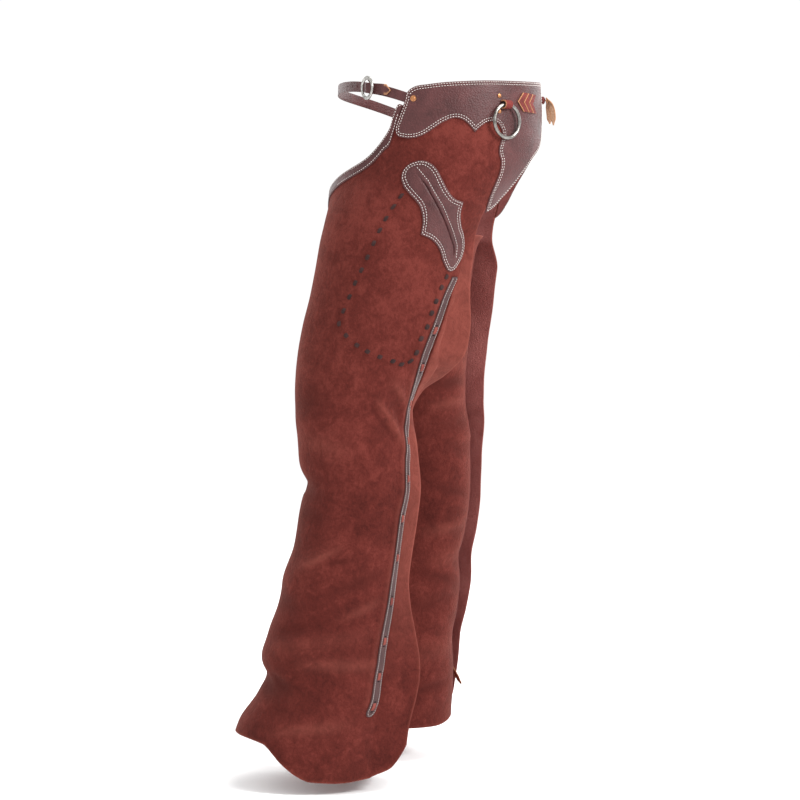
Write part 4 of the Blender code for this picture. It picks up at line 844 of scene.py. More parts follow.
def sew(name, lay, lines, thread, stitch):
    """Rows of stitches along lines; lay turns a line's places and a height into points in metres."""
    shares, lifts, widths = (np.array(column) for column in zip(*STITCH_FORM))
    angles = circle(THREAD_SIDES)[:, None]
    one = wound_faces(len(STITCH_FORM), THREAD_SIDES)
    points, faces = [], []
    for line in lines:
        dense = lay(line, OVERLAY_TOP)
        gone = np.concatenate([[0], np.cumsum(np.linalg.norm(np.diff(dense, axis=0), axis=1))]) / MM
        count = int((gone[-1] - stitch.length) // stitch.pitch) + 1
        margin = (gone[-1] - (count - 1) * stitch.pitch - stitch.length) / 2
        at = margin + np.arange(count)[:, None] * stitch.pitch + shares * stitch.length
        places = np.stack([np.interp(at, gone, line[:, 0]), np.interp(at, gone, line[:, 1])], axis=-1)
        base, above = lay(places, OVERLAY_TOP, OVERLAY_TOP + 1.0)
        up = above - base
        along = base[:, -1:] - base[:, :1]
        side = np.cross(along / np.linalg.norm(along, axis=-1, keepdims=True), up)
        spread = np.cos(angles) * side[:, :, None] + np.sin(angles) * up[:, :, None]
        skin = (base + up * lifts[:, None])[:, :, None] + spread * (widths * stitch.radius)[:, None, None]
        for row in skin:
            faces += shifted(one, len(points))
            points += list(row.reshape(-1, 3))
    return add_piece(name, points, faces, [thread], smooth_angle=180)


def strap_section(width, thickness, corner=0.5, across=5):
    """Places round a strap's rounded section: part of the half width, and part of the thickness."""
    half, tall = width / 2 - corner, thickness / 2 - corner
    over = [(x, thickness / 2) for x in np.linspace(-half, half, across)]
    over += [(half + corner * math.sin(a), tall + corner * math.cos(a)) for a in CORNER_ANGLES[1:]]
    over += [(half + corner * math.cos(a), -tall - corner * math.sin(a)) for a in CORNER_ANGLES[:-1]]
    places = over + [(-x, -y) for x, y in over]
    return [(x / (width / 2), y / thickness + 0.5) for x, y in places]


def strap(name, place, shares, section, finish, raw=None):
    """A strap swept through place(share, side, layer), closed at both ends."""
    steps = len(shares)
    share = np.repeat(np.asarray(shares, float)[:, None], len(section), axis=1)
    side, layer = (np.tile(column, (steps, 1)) for column in zip(*section))
    points = place(share, side, layer).reshape(-1, 3)
    piece = add_piece(name, points, wound_faces(steps, len(section)), [finish], smooth_angle=50)
    set_shade(piece, "raw", raw(share, side).reshape(-1) if raw else np.zeros(len(points)))
    return piece


def lathe(name, profile, frame_at, finish, mirror):
    """A turned piece from radius and height pairs in millimetres, from its middle out and back."""
    radius, height = np.array(profile).T[:, :, None]
    angles = circle(RIVET_SIDES)
    points = in_frame(frame_at, radius * np.cos(angles), radius * np.sin(angles), height) * (mirror, 1, 1)
    faces = wound_faces(len(profile), RIVET_SIDES)
    return add_piece(name, points.reshape(-1, 3), faces, [finish], smooth_angle=45)


def on_hips(form, angle, z, height=0.0):
    """A point round the whole waist, a height out from the form, in metres."""
    angle, z, height = np.broadcast_arrays(np.asarray(angle, float), z, height)
    x, y = form.oval(angle, z)
    along_x, along_y, _ = form.direction(angle, z)
    return np.stack([x + along_y * height, y - along_x * height, z], axis=-1) * MM


def hip_frame(form, angle, z, height):
    """A frame on the hips: X round towards the back, Y up and Z outwards."""
    along_x, along_y, _ = form.direction(np.float64(angle), np.float64(z))
    along = Vector((along_x, along_y, 0)).normalized()
    out = Vector((along_y, -along_x, 0)).normalized()
    turned = Matrix((along, Vector((0, 0, 1)), out)).transposed().to_4x4()
    return Matrix.Translation(Vector(on_hips(form, angle, z, height))) @ turned


def in_frame(frame_at, x, y, z):
    """Points in metres from millimetres in a frame."""
    turned = np.array(frame_at)
    return np.stack(np.broadcast_arrays(x, y, z), axis=-1) * MM @ turned[:3, :3].T + turned[:3, 3]


def belt_line(angle):
    """The height of the belt's middle: level round the front, lower at each yoke."""
    from_front = np.minimum(np.abs(angle + 90) / BELT_HALF_FRONT, 1.0)
    return BELT_FRONT_HEIGHT - BELT_DROP * from_front**BELT_DROP_CURVE


def belt_rise(mm_past_bar):
    """How far the long strap's middle lies over the form, along its way through the buckle."""
    rise = BELT_UNDER_EDGE + (BELT_OVER_BAR - BELT_UNDER_EDGE) * ease(-15, -1, mm_past_bar)
    down = BELT_OVER_BAR + (BELT_PAST_BAR - BELT_OVER_BAR) * ease(1, 12, mm_past_bar)
    past = down + (BELT_AT_TIP - BELT_PAST_BAR) * ease(20, 30, mm_past_bar)
    return np.where(mm_past_bar < 0, rise, past)


def build_leg(name, form, finishes):
    """One leg's leather from edge to edge, napped outside and smooth inside."""
    turns = np.concatenate([-np.linspace(1, 0, FLAP_CELLS, endpoint=False)**FLAP_CROWDING,
                            np.linspace(0, STRIP_TURN, 4, endpoint=False),
                            np.linspace(STRIP_TURN, OUTER_TURN, OUTER_CELLS, endpoint=False),
                            np.linspace(OUTER_TURN, 1, INNER_CELLS, endpoint=False),
                            np.linspace(1, 1 + STRIP_TURN, 3)])
    shares = np.concatenate([[0, 0.0007], np.linspace(0.003, 0.997, LENGTH_CELLS), [0.9993, 1]])
    top, bottom = form.top(turns), form.bottom(turns)
    z = top[:, None] + (bottom - top)[:, None] * shares
    turn = np.repeat(turns[:, None], len(shares), axis=1)
    outside, inside = form.placed(turn, z, 0.0, -SUEDE)
    faces, rim = grid_faces(len(turns), len(shares))
    points, faces, kinds = shell(outside.reshape(-1, 3), inside.reshape(-1, 3), faces, rim)
    piece = add_piece(name, points, faces, finishes, slots=kinds, smooth_angle=50)
    from_edge = np.minimum(np.minimum(top[:, None] - z, z - bottom[:, None]),
                           np.where(turn < 0, (1 + turn) * form.read("flap", z), FAR))
    folded, creased = form.fold_height(turn, z), form.creasing(turn, z)
    # Paler with edge wear along the cut edges, and with painted highlight on raised folds, creases and the
    # loose flap
    wear_and_painted_light = (EDGE_RUB * np.exp(-(from_edge / EDGE_RUB_WIDTH)**2) + FOLD_HIGHLIGHT * np.clip(folded / 5, 0, 1)
            + CREASE_HIGHLIGHT * np.clip(creased / 2.2, 0, 1) + flap_highlight(turn, z))
    # Painted shade darkens the troughs of folds and creases
    painted_crease_shade = -folded / 7 - creased / 3.5
    for shade, values in (("wear_and_painted_light", wear_and_painted_light), ("painted_crease_shade", painted_crease_shade), ("raw", 0 * wear_and_painted_light)):
        set_shade(piece, shade, np.tile(np.clip(values, 0, 1).reshape(-1), 2))
    return piece


def flap_highlight(turn, z):
    """How much painted highlight brightens the loose flap: most behind the knee, least near the yoke and the
    hem.
    """
    return FLAP_HIGHLIGHT * ease(0, FLAP_HIGHLIGHT_TURN, turn) * ease(*FLAP_HIGHLIGHT_TOP, z) * ease(*FLAP_HIGHLIGHT_END, z)


def build_yoke(name, form, finishes, thread):
    """The yoke with its scalloped edge and two seams, and the rivet's mark pressed into it."""
    line = outline_line(form, YOKE_OUTLINE)
    centre = np.array([float(form.arc(FRONT_RIVET_ANGLE, FRONT_RIVET_HEIGHT)), FRONT_RIVET_HEIGHT])

    def relief(flat):
        """The ring pressed into the leather round the front rivet."""
        return bells(RIVET_MARK, np.hypot(*(flat - centre).T))

    ways = np.stack([np.cos(circle(30)), np.sin(circle(30))], axis=1)
    bends = np.concatenate([centre + radius * ways for radius in RIVET_MARK_RINGS])
    piece = patch(name, form, line, OVERLAY_ROWS, finishes, relief, bends)
    lines = [seam_run(line, row) for row in OVERLAY_ROWS]
    return piece, sew(name + "_stitching", form.over, lines, thread, SEAM_STITCH), line


def smooth_route(form, marks, count):
    """Close places in flat millimetres on a smooth curve through marked ones."""
    share = np.linspace(0, 1, len(marks))
    angle, z = (through(share, column, np.linspace(0, 1, count)) for column in zip(*marks))
    return np.stack([form.arc(angle, z), z], axis=1)


def build_pocket(form, finishes, thread):
    """The pocket's patch with its slit: a rolled welt with a dark gap in front and a sewn line behind."""
    line = outline_line(form, POCKET_OUTLINE)
    welt = smooth_route(form, [mark[:2] for mark in WELT_LINE], 70)
    along = np.gradient(welt, axis=0)
    along /= np.linalg.norm(along, axis=1, keepdims=True)
    behind = np.stack([-along[:, 1], along[:, 0]], axis=1)

    def relief(flat):
        """The welt's roll, the gap in front of it, the sunken seam behind and the swell of the patch."""
        offsets = flat[:, None, :] - welt[None, :, :]
        nearest = np.argmin(np.hypot(offsets[..., 0], offsets[..., 1]), axis=1)
        picked = offsets[np.arange(len(flat)), nearest]
        side = np.sum(picked * behind[nearest], axis=1)
        past = np.abs(np.sum(picked * along[nearest], axis=1))
        shown = ease(0, 8, np.minimum(nearest, len(welt) - 1 - nearest)) * (1 - ease(1, 4, past))
        height, middle, width = WELT_ROLL
        roll = height * np.sqrt(np.clip(1 - ((side - middle) / width)**2, 0, 1))
        return (roll + bells(WELT_FORM, side)) * shown

    bends = np.concatenate([welt + behind * side for side in WELT_SIDES])
    piece = patch("pocket_leather", form, line, OVERLAY_ROWS, finishes, relief, bends)
    lines = [seam_run(line, row) for row in OVERLAY_ROWS] + [smooth_route(form, WELT_STITCHES, 70)]
    return piece, sew("pocket_stitching", form.over, lines, thread, SEAM_STITCH)


def seam_run(line, distance):
    """A closed run of places at a distance inside an outline."""
    run = inset_line(line, distance)
    return np.concatenate([run, run[:1]])


def build_binding(name, form, finishes, thread, yoke_line):
    """The band along the front opening and the inner thigh, which ends against the yoke."""
    widths = np.array(BINDING_PROFILE)

    def below_edge(turn, width):
        """The height of a place a width inside the leg's cut edge."""
        slope = (form.top(turn + 0.01) - form.top(turn - 0.01)) / TOP_EDGE_RUN
        return form.top(turn) - width * np.hypot(1, slope)

    def lay(places, *heights):
        """Points over the band from places given as turns and widths."""
        return form.placed(places[..., 0], below_edge(places[..., 0], places[..., 1]), *heights)

    scan = np.linspace(*BINDING_STARTS, 200)
    starts = []
    for width in widths:
        z = below_edge(scan, width)
        across = form.arc(form.angle_of(scan, z), z)
        nearest, inside = edge_distance(np.stack([across, z], axis=1), yoke_line)
        covered = inside | (nearest < BINDING_CLEARANCE)
        starts.append(scan[np.nonzero(covered)[0][-1] + 1])
    starts = np.array(starts)
    share = np.arange(BINDING_STEPS + 1)[:, None] / BINDING_STEPS
    turns = starts + (BINDING_END - starts) * share
    places = np.stack([turns, np.broadcast_to(widths, turns.shape)], axis=-1)
    edge = np.minimum(widths, BINDING_WIDTH - widths)
    height = OVERLAY_TOP - edge_profile(edge, BINDING_ROWS[:1])
    top, bottom = lay(places, np.tile(height, (len(share), 1)), GAP)
    faces, rim = grid_faces(len(share), len(widths))
    points, faces, kinds = shell(top.reshape(-1, 3), bottom.reshape(-1, 3), faces, rim)
    piece = add_piece(name, points, faces, finishes, slots=[kind % 2 for kind in kinds])
    set_shade(piece, "wear_and_painted_light", np.tile(np.tile(np.exp(-(edge / BINDING_RUB)**2), len(share)), 2))
    runs = []
    for width, last in zip(BINDING_ROWS, BINDING_RUN_ENDS):
        first = float(np.interp(width, widths, starts)) + 0.003
        runs.append(np.stack([np.linspace(first, last, 400), np.full(400, width)], axis=1))
    return piece, sew(name + "_stitching", lay, runs, thread, SEAM_STITCH)


def build_strip(name, form, finishes, thread, lace, hole):
    """The laced strip over the seam, with a rounded lower end, its stitching and its lace."""
    near, far = STRIP_INSET, STRIP_TURN - STRIP_INSET
    middle, across = (near + far) / 2, np.array(STRIP_PROFILE)
    edge = np.minimum(across, 1 - across) * STRIP_WIDTH
    rounding = (STRIP_STRAIGHT - STRIP_END) * np.sqrt(np.clip(1 - (2 * across - 1)**2, 0.02, 1))
    down = np.linspace(0, 1, STRIP_STEPS + 1)[:, None]
    z = STRIP_TOP + (STRIP_STRAIGHT - rounding - STRIP_TOP) * down
    turn = near + (far - near + strip_widening(z)) * across + strip_hook(z)
    height = np.tile(OVERLAY_TOP - edge_profile(edge, (STRIP_ROW,)), (len(down), 1))
    height[-1] -= 0.5
    top, bottom = form.placed(turn, z, height, GAP)
    faces, rim = grid_faces(len(down), len(across))
    points, faces, kinds = shell(top.reshape(-1, 3), bottom.reshape(-1, 3), faces, rim)
    piece = add_piece(name, points, faces, finishes, slots=[kind % 2 for kind in kinds])
    set_shade(piece, "wear_and_painted_light", np.tile(np.tile(np.exp(-(edge / STRIP_RUB)**2), len(down)), 2))

    def lay(places, *heights):
        """Points over the strip from places given as turns and heights."""
        turn, z = places[..., 0], places[..., 1]
        turn = turn + strip_hook(z) + strip_widening(z) * (turn - near) / (far - near)
        return form.placed(turn, z, *heights)

    inset = STRIP_ROW / STRIP_WIDTH * (far - near)
    bend = np.linspace(0, math.pi, 24)
    half, depth = (far - near) / 2 - inset, STRIP_STRAIGHT - STRIP_END - STRIP_ROW
    end_run = np.stack([middle - half * np.cos(bend), STRIP_STRAIGHT - depth * np.sin(bend)], axis=1)
    rise = np.linspace(STRIP_TOP - 2, STRIP_STRAIGHT, 500)
    run = np.concatenate([np.stack([0 * rise + near + inset, rise], axis=1), end_run,
                          np.stack([0 * rise + far - inset, rise[::-1]], axis=1)])
    sewing = sew(name + "_stitching", lay, [run], thread, STRIP_STITCH)

    def over_strip(turn, z, height):
        """Points over the strip's middle line, in turns from it."""
        return form.placed(middle + turn + strip_hook(z) + strip_widening(z) / 2, z, OVERLAY_TOP + height)

    laces, holes = [], []
    for number, first in enumerate(LACE_RUNS, start=1):
        last = first - LACE_RUN

        def place(share, side, layer, first=first):
            bow = -0.9 + 1.9 * np.sqrt(np.abs(np.sin(math.pi * share)))
            height = bow + (layer - 0.5) * SEAM_LACE
            return over_strip(RUN_HALF_TURN * side, first - LACE_RUN * share, height)

        laces.append(strap(f"{name}_lace_{number}", place, np.linspace(0, 1, 9),
                           strap_section(RUN_WIDTH, SEAM_LACE, 0.3, 3), lace))
        holes += [(first + HOLE_SHIFT, 1), (last - HOLE_SHIFT, -1)]
    return piece, sewing, laces, lace_holes(name + "_holes", over_strip, holes, hole)


def strip_hook(z):
    """How far the strip's lower end bends forward, in turns."""
    return STRIP_HOOK * ease(*STRIP_HOOK_HEIGHTS, z)


def strip_widening(z):
    """How much broader the strip is lower down, in turns."""
    return STRIP_WIDENING * ease(*STRIP_WIDENING_HEIGHTS, z)


def lace_holes(name, over_strip, holes, finish):
    """The slots that the lace goes through: thin lenses lying on the strip, dark with painted shade."""
    points, faces = [], []
    angles = circle(12)
    for z, way in holes:
        rim = (HOLE_HALF_TURN * np.cos(angles), z + way * HOLE_HALF_HEIGHT * np.sin(angles))
        faces += shifted(wound_faces(2, 12), len(points))
        points += list(over_strip(*rim, HOLE_TOP)) + list(over_strip(*rim, -HOLE_SINK))
    return add_piece(name, points, faces, [finish], smooth_angle=60)


def build_long_strap(form, finish):
    """The belt from the right yoke, across the front, over the buckle's bar to its pointed tip."""
    start, end = -180 - BELT_ROOT_ANGLE, BELT_TIP_ANGLE
    degree = float(form.direction(np.float64(BUCKLE_ANGLE), np.float64(0))[2])

    def place(share, side, layer):
        angle = start + (end - start) * share
        taper = np.minimum(1.0, BELT_TIP_WIDTH + (end - angle) * degree / BELT_POINT)
        rise = belt_rise((angle - BUCKLE_ANGLE) * degree)
        lift = BELT_TIP_LIFT * ease(BUCKLE_ANGLE, BELT_TIP_ANGLE, angle)
        z = belt_line(angle) + lift + side * taper * BELT_WIDTH / 2
        return on_hips(form, angle, z, rise + (layer - 0.5) * BELT_LEATHER)

    def raw(share, side):
        tip = (1 - share) * (end - start) * degree
        at_tip = (tip < 9.5) & ((np.abs(side) > 0.86) | (tip < 0.8))
        return np.where(at_tip, 0.9, 0.12 * (np.abs(side) > 0.97))

    shares = np.concatenate([np.linspace(0, 0.93, 190), np.linspace(0.932, 1, 60)])
    piece = strap("belt_right_leather", place, shares, strap_section(BELT_WIDTH, BELT_LEATHER), finish, raw)
    for angle in BELT_HOLE_ANGLES:
        punch(piece, hip_frame(form, angle, belt_line(angle), 0), BELT_HOLE)
    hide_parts("belt_right")
    return piece


def punch(piece, frame_at, diameter):
    """A round hole through a piece, along Z of a frame."""
    shape = bmesh.new()
    bmesh.ops.create_cone(shape, cap_ends=True, segments=20, radius1=diameter / 2 * MM,
                          radius2=diameter / 2 * MM, depth=0.03)
    shape.transform(frame_at)
    mesh = bpy.data.meshes.new("punch")
    shape.to_mesh(mesh)
    shape.free()
    cutter = bpy.data.objects.new("punch", mesh)
    bpy.context.scene.collection.objects.link(cutter)
    modifier = piece.modifiers.new("Hole", "BOOLEAN")
    modifier.operation = "DIFFERENCE"
    modifier.object = cutter
    bpy.context.view_layer.update()
    evaluated = piece.evaluated_get(bpy.context.evaluated_depsgraph_get())
    cut = bpy.data.meshes.new_from_object(evaluated)
    piece.modifiers.remove(modifier)
    piece.data = cut
    bpy.data.objects.remove(cutter)


def build_short_strap(form, finish):
    """The strap from under the left yoke, turned round the buckle's bar and back on itself."""
    degree = float(form.direction(np.float64(BUCKLE_ANGLE), np.float64(0))[2])
    run = (BELT_ROOT_ANGLE - BUCKLE_ANGLE) * degree
    radius = BAR_RADIUS + BAR_SLACK + SKIVED / 2
    bar = -SUEDE + SKIVED / 2 + radius
    half_round = math.pi * radius
    total = run + half_round + SHORT_STRAP_TURNED

    def place(share, side, layer):
        distance = share * total
        angle = np.clip((distance - run) / radius, 0, math.pi)
        back = np.maximum(distance - run - half_round, 0)
        from_bar = np.maximum(run - distance, 0) - radius * np.sin(angle) + back
        rise = bar - radius * np.cos(angle) - ease(2, 13, back) * (2 * radius - SKIVED - GAP)
        off = (layer - 0.5) * SKIVED
        out_up = -np.cos(angle)
        angle = BUCKLE_ANGLE + (from_bar - np.sin(angle) * off) / degree
        return on_hips(form, angle, belt_line(angle) + side * BELT_WIDTH / 2, rise + out_up * off)

    section = strap_section(BELT_WIDTH, SKIVED)
    piece = strap("belt_left_leather", place, np.linspace(0, 1, 150), section, finish,
                  lambda share, side: 0.25 * (np.abs(side) > 0.97))
    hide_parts("belt_left")
    return piece


def build_buckle(form, finish):
    """An oval plate with a wide eye and a domed, chased face, over a bar that dips behind it."""
    frame_at = hip_frame(form, BUCKLE_ANGLE, belt_line(BUCKLE_ANGLE), 0)
    share, height = np.array(BUCKLE_PROFILE).T
    angle = circle(BUCKLE_STEPS)[:, None]
    along = (BUCKLE_EYE_WIDTH + (BUCKLE_WIDTH - BUCKLE_EYE_WIDTH) * share) / 2 * np.cos(angle)
    up = (BUCKLE_EYE_HEIGHT + (BUCKLE_HEIGHT - BUCKLE_EYE_HEIGHT) * share) / 2 * np.sin(angle)
    fluted = (share > 0.3) & (share < 0.7) & (height > 0)
    out = BUCKLE_PLATE_HEIGHT + height + np.where(fluted, FLUTE_DEPTH * np.cos(BUCKLE_FLUTES * angle), 0)
    plate = add_piece("buckle_plate", in_frame(frame_at, along, up, out).reshape(-1, 3),
                      wound_faces(BUCKLE_STEPS, len(share), "joined"), [finish], smooth_angle=50)
    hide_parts("buckle")

    bar_height = -SUEDE + SKIVED + BAR_SLACK + BAR_RADIUS
    dip = bar_height - BUCKLE_PLATE_HEIGHT
    end, bend = BUCKLE_EYE_HEIGHT / 2 + BAR_ANCHOR, BELT_WIDTH / 2 + BAR_BEND_ROOM
    half = [(end, 0), (bend + BAR_BEND, dip * 0.55), (bend, dip)]
    up, out = np.array(smoothed(half + [(-up, out) for up, out in reversed(half)], 6)).T
    route = [Vector(point) for point in in_frame(frame_at, 0, up, BUCKLE_PLATE_HEIGHT + out)]
    return plate, tube("buckle_bar", route, BAR_RADIUS * MM, finish)


def smoothed(route, cuts):
    """A route of corners with each bend rounded."""
    corners = np.array(route, float)
    places = [corners[0]]
    for i in range(1, len(corners) - 1):
        before = corners[i] + (corners[i - 1] - corners[i]) * 0.35
        after = corners[i] + (corners[i + 1] - corners[i]) * 0.35
        for t in np.linspace(0, 1, cuts):
            places.append((1 - t)**2 * before + 2 * t * (1 - t) * corners[i] + t * t * after)
    return places + [corners[-1]]


def tube(name, route, radius, finish):
    """A round rod along a route of points in metres."""
    points, side = [], None
    for i, here in enumerate(route):
        along = (route[min(i + 1, len(route) - 1)] - route[max(i - 1, 0)]).normalized()
        if side is None:
            side = Vector((0.3, 0.2, 0.9)) if abs(along.z) < 0.8 else Vector((1, 0, 0))
        up = along.cross(side).normalized()
        side = up.cross(along).normalized()
        points += [here + (side * math.cos(angle) + up * math.sin(angle)) * radius for angle in circle(12)]
    return add_piece(name, points, wound_faces(len(route), 12), [finish], smooth_angle=60)


def build_rivet(name, form, angle, z, diameter, finish):
    """A hammered copper rivet: its burr washer with the shank domed over in the middle."""
    outside = [(diameter / 2 * share, height) for share, height in RIVET_PROFILE]
    profile = [(0.2, 0.0), *outside, (0.1, 1.80)]
    frame_at = hip_frame(form, angle, z, ON_OVERLAY + RIVET_SEAT)
    piece = lathe(name + "_head", profile, frame_at, finish, form.side)
    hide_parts(name)
    return piece


def build_ring(form, finish):
    """The round steel ring that hangs in its loop."""
    major, minor = (RING_DIAMETER - RING_WIRE) / 2, RING_WIRE / 2
    frame_at = hip_frame(form, RING_ANGLE, RING_TOP_HEIGHT, RING_STANDOFF)
    angle, turn = circle(120)[:, None], circle(24)
    reach = major + minor * np.cos(turn)
    points = in_frame(frame_at, reach * np.cos(angle), reach * np.sin(angle) - major, minor * np.sin(turn))
    faces = wound_faces(120, 24, "joined")
    piece = add_piece("ring_wire", points.reshape(-1, 3), faces, [finish], body="ring", smooth_angle=180)
    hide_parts("ring")
    return piece


def build_ring_loop(form, finish):
    """The band over the top of the ring, from the yoke above it to the yoke below it."""
    radius = RING_WIRE / 2 + LOOP_SLACK + LOOP_LEATHER / 2
    leg = RING_STANDOFF - ON_OVERLAY
    half_round = math.pi * radius
    frame_at = hip_frame(form, RING_ANGLE, RING_TOP_HEIGHT, 0)

    def place(share, side, layer):
        distance = share * (2 * leg + half_round)
        off = radius + (layer - 0.5) * LOOP_LEATHER
        angle = np.clip((distance - leg) / radius, 0, math.pi)
        fall = np.maximum(distance - leg - half_round, 0)
        out = RING_STANDOFF + off * np.sin(angle) - np.maximum(leg - distance, 0) - fall
        return in_frame(frame_at, side * LOOP_WIDTH / 2, off * np.cos(angle), out)

    piece = strap("ring_loop_leather", place, np.linspace(0, 1, 40), strap_section(LOOP_WIDTH, LOOP_LEATHER),
                  finish, lambda share, side: 0.9 * (side < -0.93) + 0.3 * (side > 0.97))
    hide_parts("ring_loop")
    return piece


def build_chevron(name, form, angle, finish):
    """One lace bent to a V on the yoke, its point to the front, with a pale cut edge in front."""
    degree = float(form.direction(np.float64(angle), np.float64(CHEVRON_MIDDLE))[2])
    wide = CHEVRON_LACE / 2 * math.hypot(CHEVRON_REACH, CHEVRON_RISE) / CHEVRON_RISE

    def place(share, side, layer):
        up = CHEVRON_RISE * (1 - 2 * share)
        along = CHEVRON_REACH * np.abs(2 * share - 1) + side * wide
        height = ON_OVERLAY + CHEVRON_SEAT + layer * LACE_LEATHER
        return on_hips(form, angle + along / degree, CHEVRON_MIDDLE + up, height) * (form.side, 1, 1)

    section = strap_section(CHEVRON_LACE, LACE_LEATHER, 0.4, 9)
    piece = strap(name + "_leather", place, np.linspace(0, 1, 25), section, finish,
                  lambda share, side: 0.95 * (side < -0.86) + 0.8 * (side > 0.95))
    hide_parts(name)
    return piece


def build_back_lace(name, form, z, finish):
    """A lace across the centre back, under the edges of both yokes."""
    start, end = BACK_LACE_ANGLES

    def place(share, side, layer):
        depth = (layer - 1) * LACE_LEATHER - BACK_LACE_SINK
        return on_hips(form, start + (end - start) * share, z + side * LACE_WIDTH / 2, depth)

    section = strap_section(LACE_WIDTH, LACE_LEATHER, 0.4, 4)
    piece = strap(name + "_leather", place, np.linspace(0, 1, 40), section, finish,
                  lambda share, side: 0.4 * (np.abs(side) > 0.95))
    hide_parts(name)
    return piece


def build_thong(name, route, finish):
    """A hanging thong end, flat and twisting, with a slanting tip."""
    marks = np.linspace(0, 1, len(route))
    level = np.array([1.0, 0, 0])

    def centre(share):
        """The thong's middle line, in millimetres."""
        return np.stack([through(marks, column, np.clip(share, 0, 1)) for column in zip(*route)], axis=-1)

    def place(share, side, layer):
        out = np.cross(level, centre(share + 0.02) - centre(share - 0.02))
        out /= np.linalg.norm(out, axis=-1, keepdims=True)
        half = THONG_WIDTH / 2 * (1 - 0.75 * ease(0.8, 1.0, share))
        twist = (np.radians(THONG_TWIST) * ease(0.05, 0.55, share))[..., None]
        flat = np.cos(twist) * level + np.sin(twist) * out
        face = np.cos(twist) * out - np.sin(twist) * level
        offset = flat * (side * half)[..., None] + face * ((layer - 0.5) * LACE_LEATHER)[..., None]
        return (centre(share) + offset) * MM

    section = strap_section(THONG_WIDTH, LACE_LEATHER, 0.35, 5)
    piece = strap(name + "_leather", place, np.linspace(0, 1, 40), section, finish,
                  lambda share, side: 1.0 * (np.abs(side) > 0.9))
    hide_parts(name)
    return piece


def build_knot(finish):
    """The tied lace over the centre back: three soft turns drawn tight."""
    polar, angle = np.linspace(0, math.pi, 37)[:, None], circle(48)
    groove = 0.11 * np.abs(np.sin(1.5 * angle + 3.0 * np.cos(polar)))**0.5 * np.sin(polar)
    around = np.broadcast_arrays(np.cos(polar), np.sin(polar) * np.cos(angle), np.sin(polar) * np.sin(angle))
    places = np.stack(around, axis=-1) * np.array(KNOT_SIZE) * (0.88 + groove)[..., None]
    points = ((np.array(KNOT_CENTRE) + places) * MM).reshape(-1, 3)
    piece = add_piece("lace_knot_leather", points, wound_faces(37, 48, "open"), [finish], smooth_angle=70)
    set_shade(piece, "raw", np.zeros(len(points)))
    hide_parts("lace_knot")
    return piece


def build_lace_tail(form, finish):
    """The end of the seam's lace, which pokes out under the right leg's flap."""
    def place(share, side, layer):
        half = TAIL_WIDTH / 2 * (1 - 0.6 * ease(0.7, 1.0, share))
        z = TAIL_HEIGHT - TAIL_FALL * share + side * half
        height = -SUEDE - TAIL_GAP - LACE_LEATHER * (1 - layer)
        return form.placed(TAIL_TURN - TAIL_REACH * share, z, height)

    section = strap_section(TAIL_WIDTH, LACE_LEATHER, 0.35, 4)
    piece = strap("lace_tail_right_leather", place, np.linspace(0, 1, 24), section, finish,
                  lambda share, side: 0.5 * (np.abs(side) > 0.9))
    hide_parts("lace_tail_right")
    return piece


def build_buckstitches(form, finish):
    """The line of dark lace stitches that outlines the pocket bag under the thigh."""
    marks = np.array(BUCKSTITCHES, float)
    line = np.stack([form.arc(marks[:, 0], marks[:, 1]), marks[:, 1]], axis=1)
    section = strap_section(BUCKSTITCH_WIDTH, SEAM_LACE, 0.35, 3)
    pieces = []
    for i, middle in enumerate(line):
        along = line[min(i + 1, len(line) - 1)] - line[max(i - 1, 0)]
        along = along / np.hypot(*along)
        across = np.array([-along[1], along[0]])

        def place(share, side, layer, middle=middle, along=along, across=across):
            swell = np.sqrt(np.sin(math.pi * (0.12 + 0.76 * share)))
            spot = (middle + along * ((share - 0.5) * BUCKSTITCH_LENGTH)[..., None]
                    + across * (side * swell * BUCKSTITCH_WIDTH / 2)[..., None])
            bow = -1.2 + 2.3 * np.sqrt(np.abs(np.sin(math.pi * share)))
            return form.over(spot, bow + (layer - 0.5) * SEAM_LACE)

        pieces.append(strap(f"buckstitch_{i + 1}", place, np.linspace(0, 1, 9), section, finish))
    return pieces


def area_light(name, place, size, watts):
    """A soft rectangular light turned towards the chaps."""
    lamp = bpy.data.lights.new(name, "AREA")
    lamp.shape = "RECTANGLE"
    lamp.size, lamp.size_y = size
    lamp.energy = watts
    light = bpy.data.objects.new(name, lamp)
    light.location = place
    light.rotation_euler = (Vector(LIGHT_TARGET) - Vector(place)).to_track_quat("-Z", "Y").to_euler()
    bpy.context.scene.collection.objects.link(light)


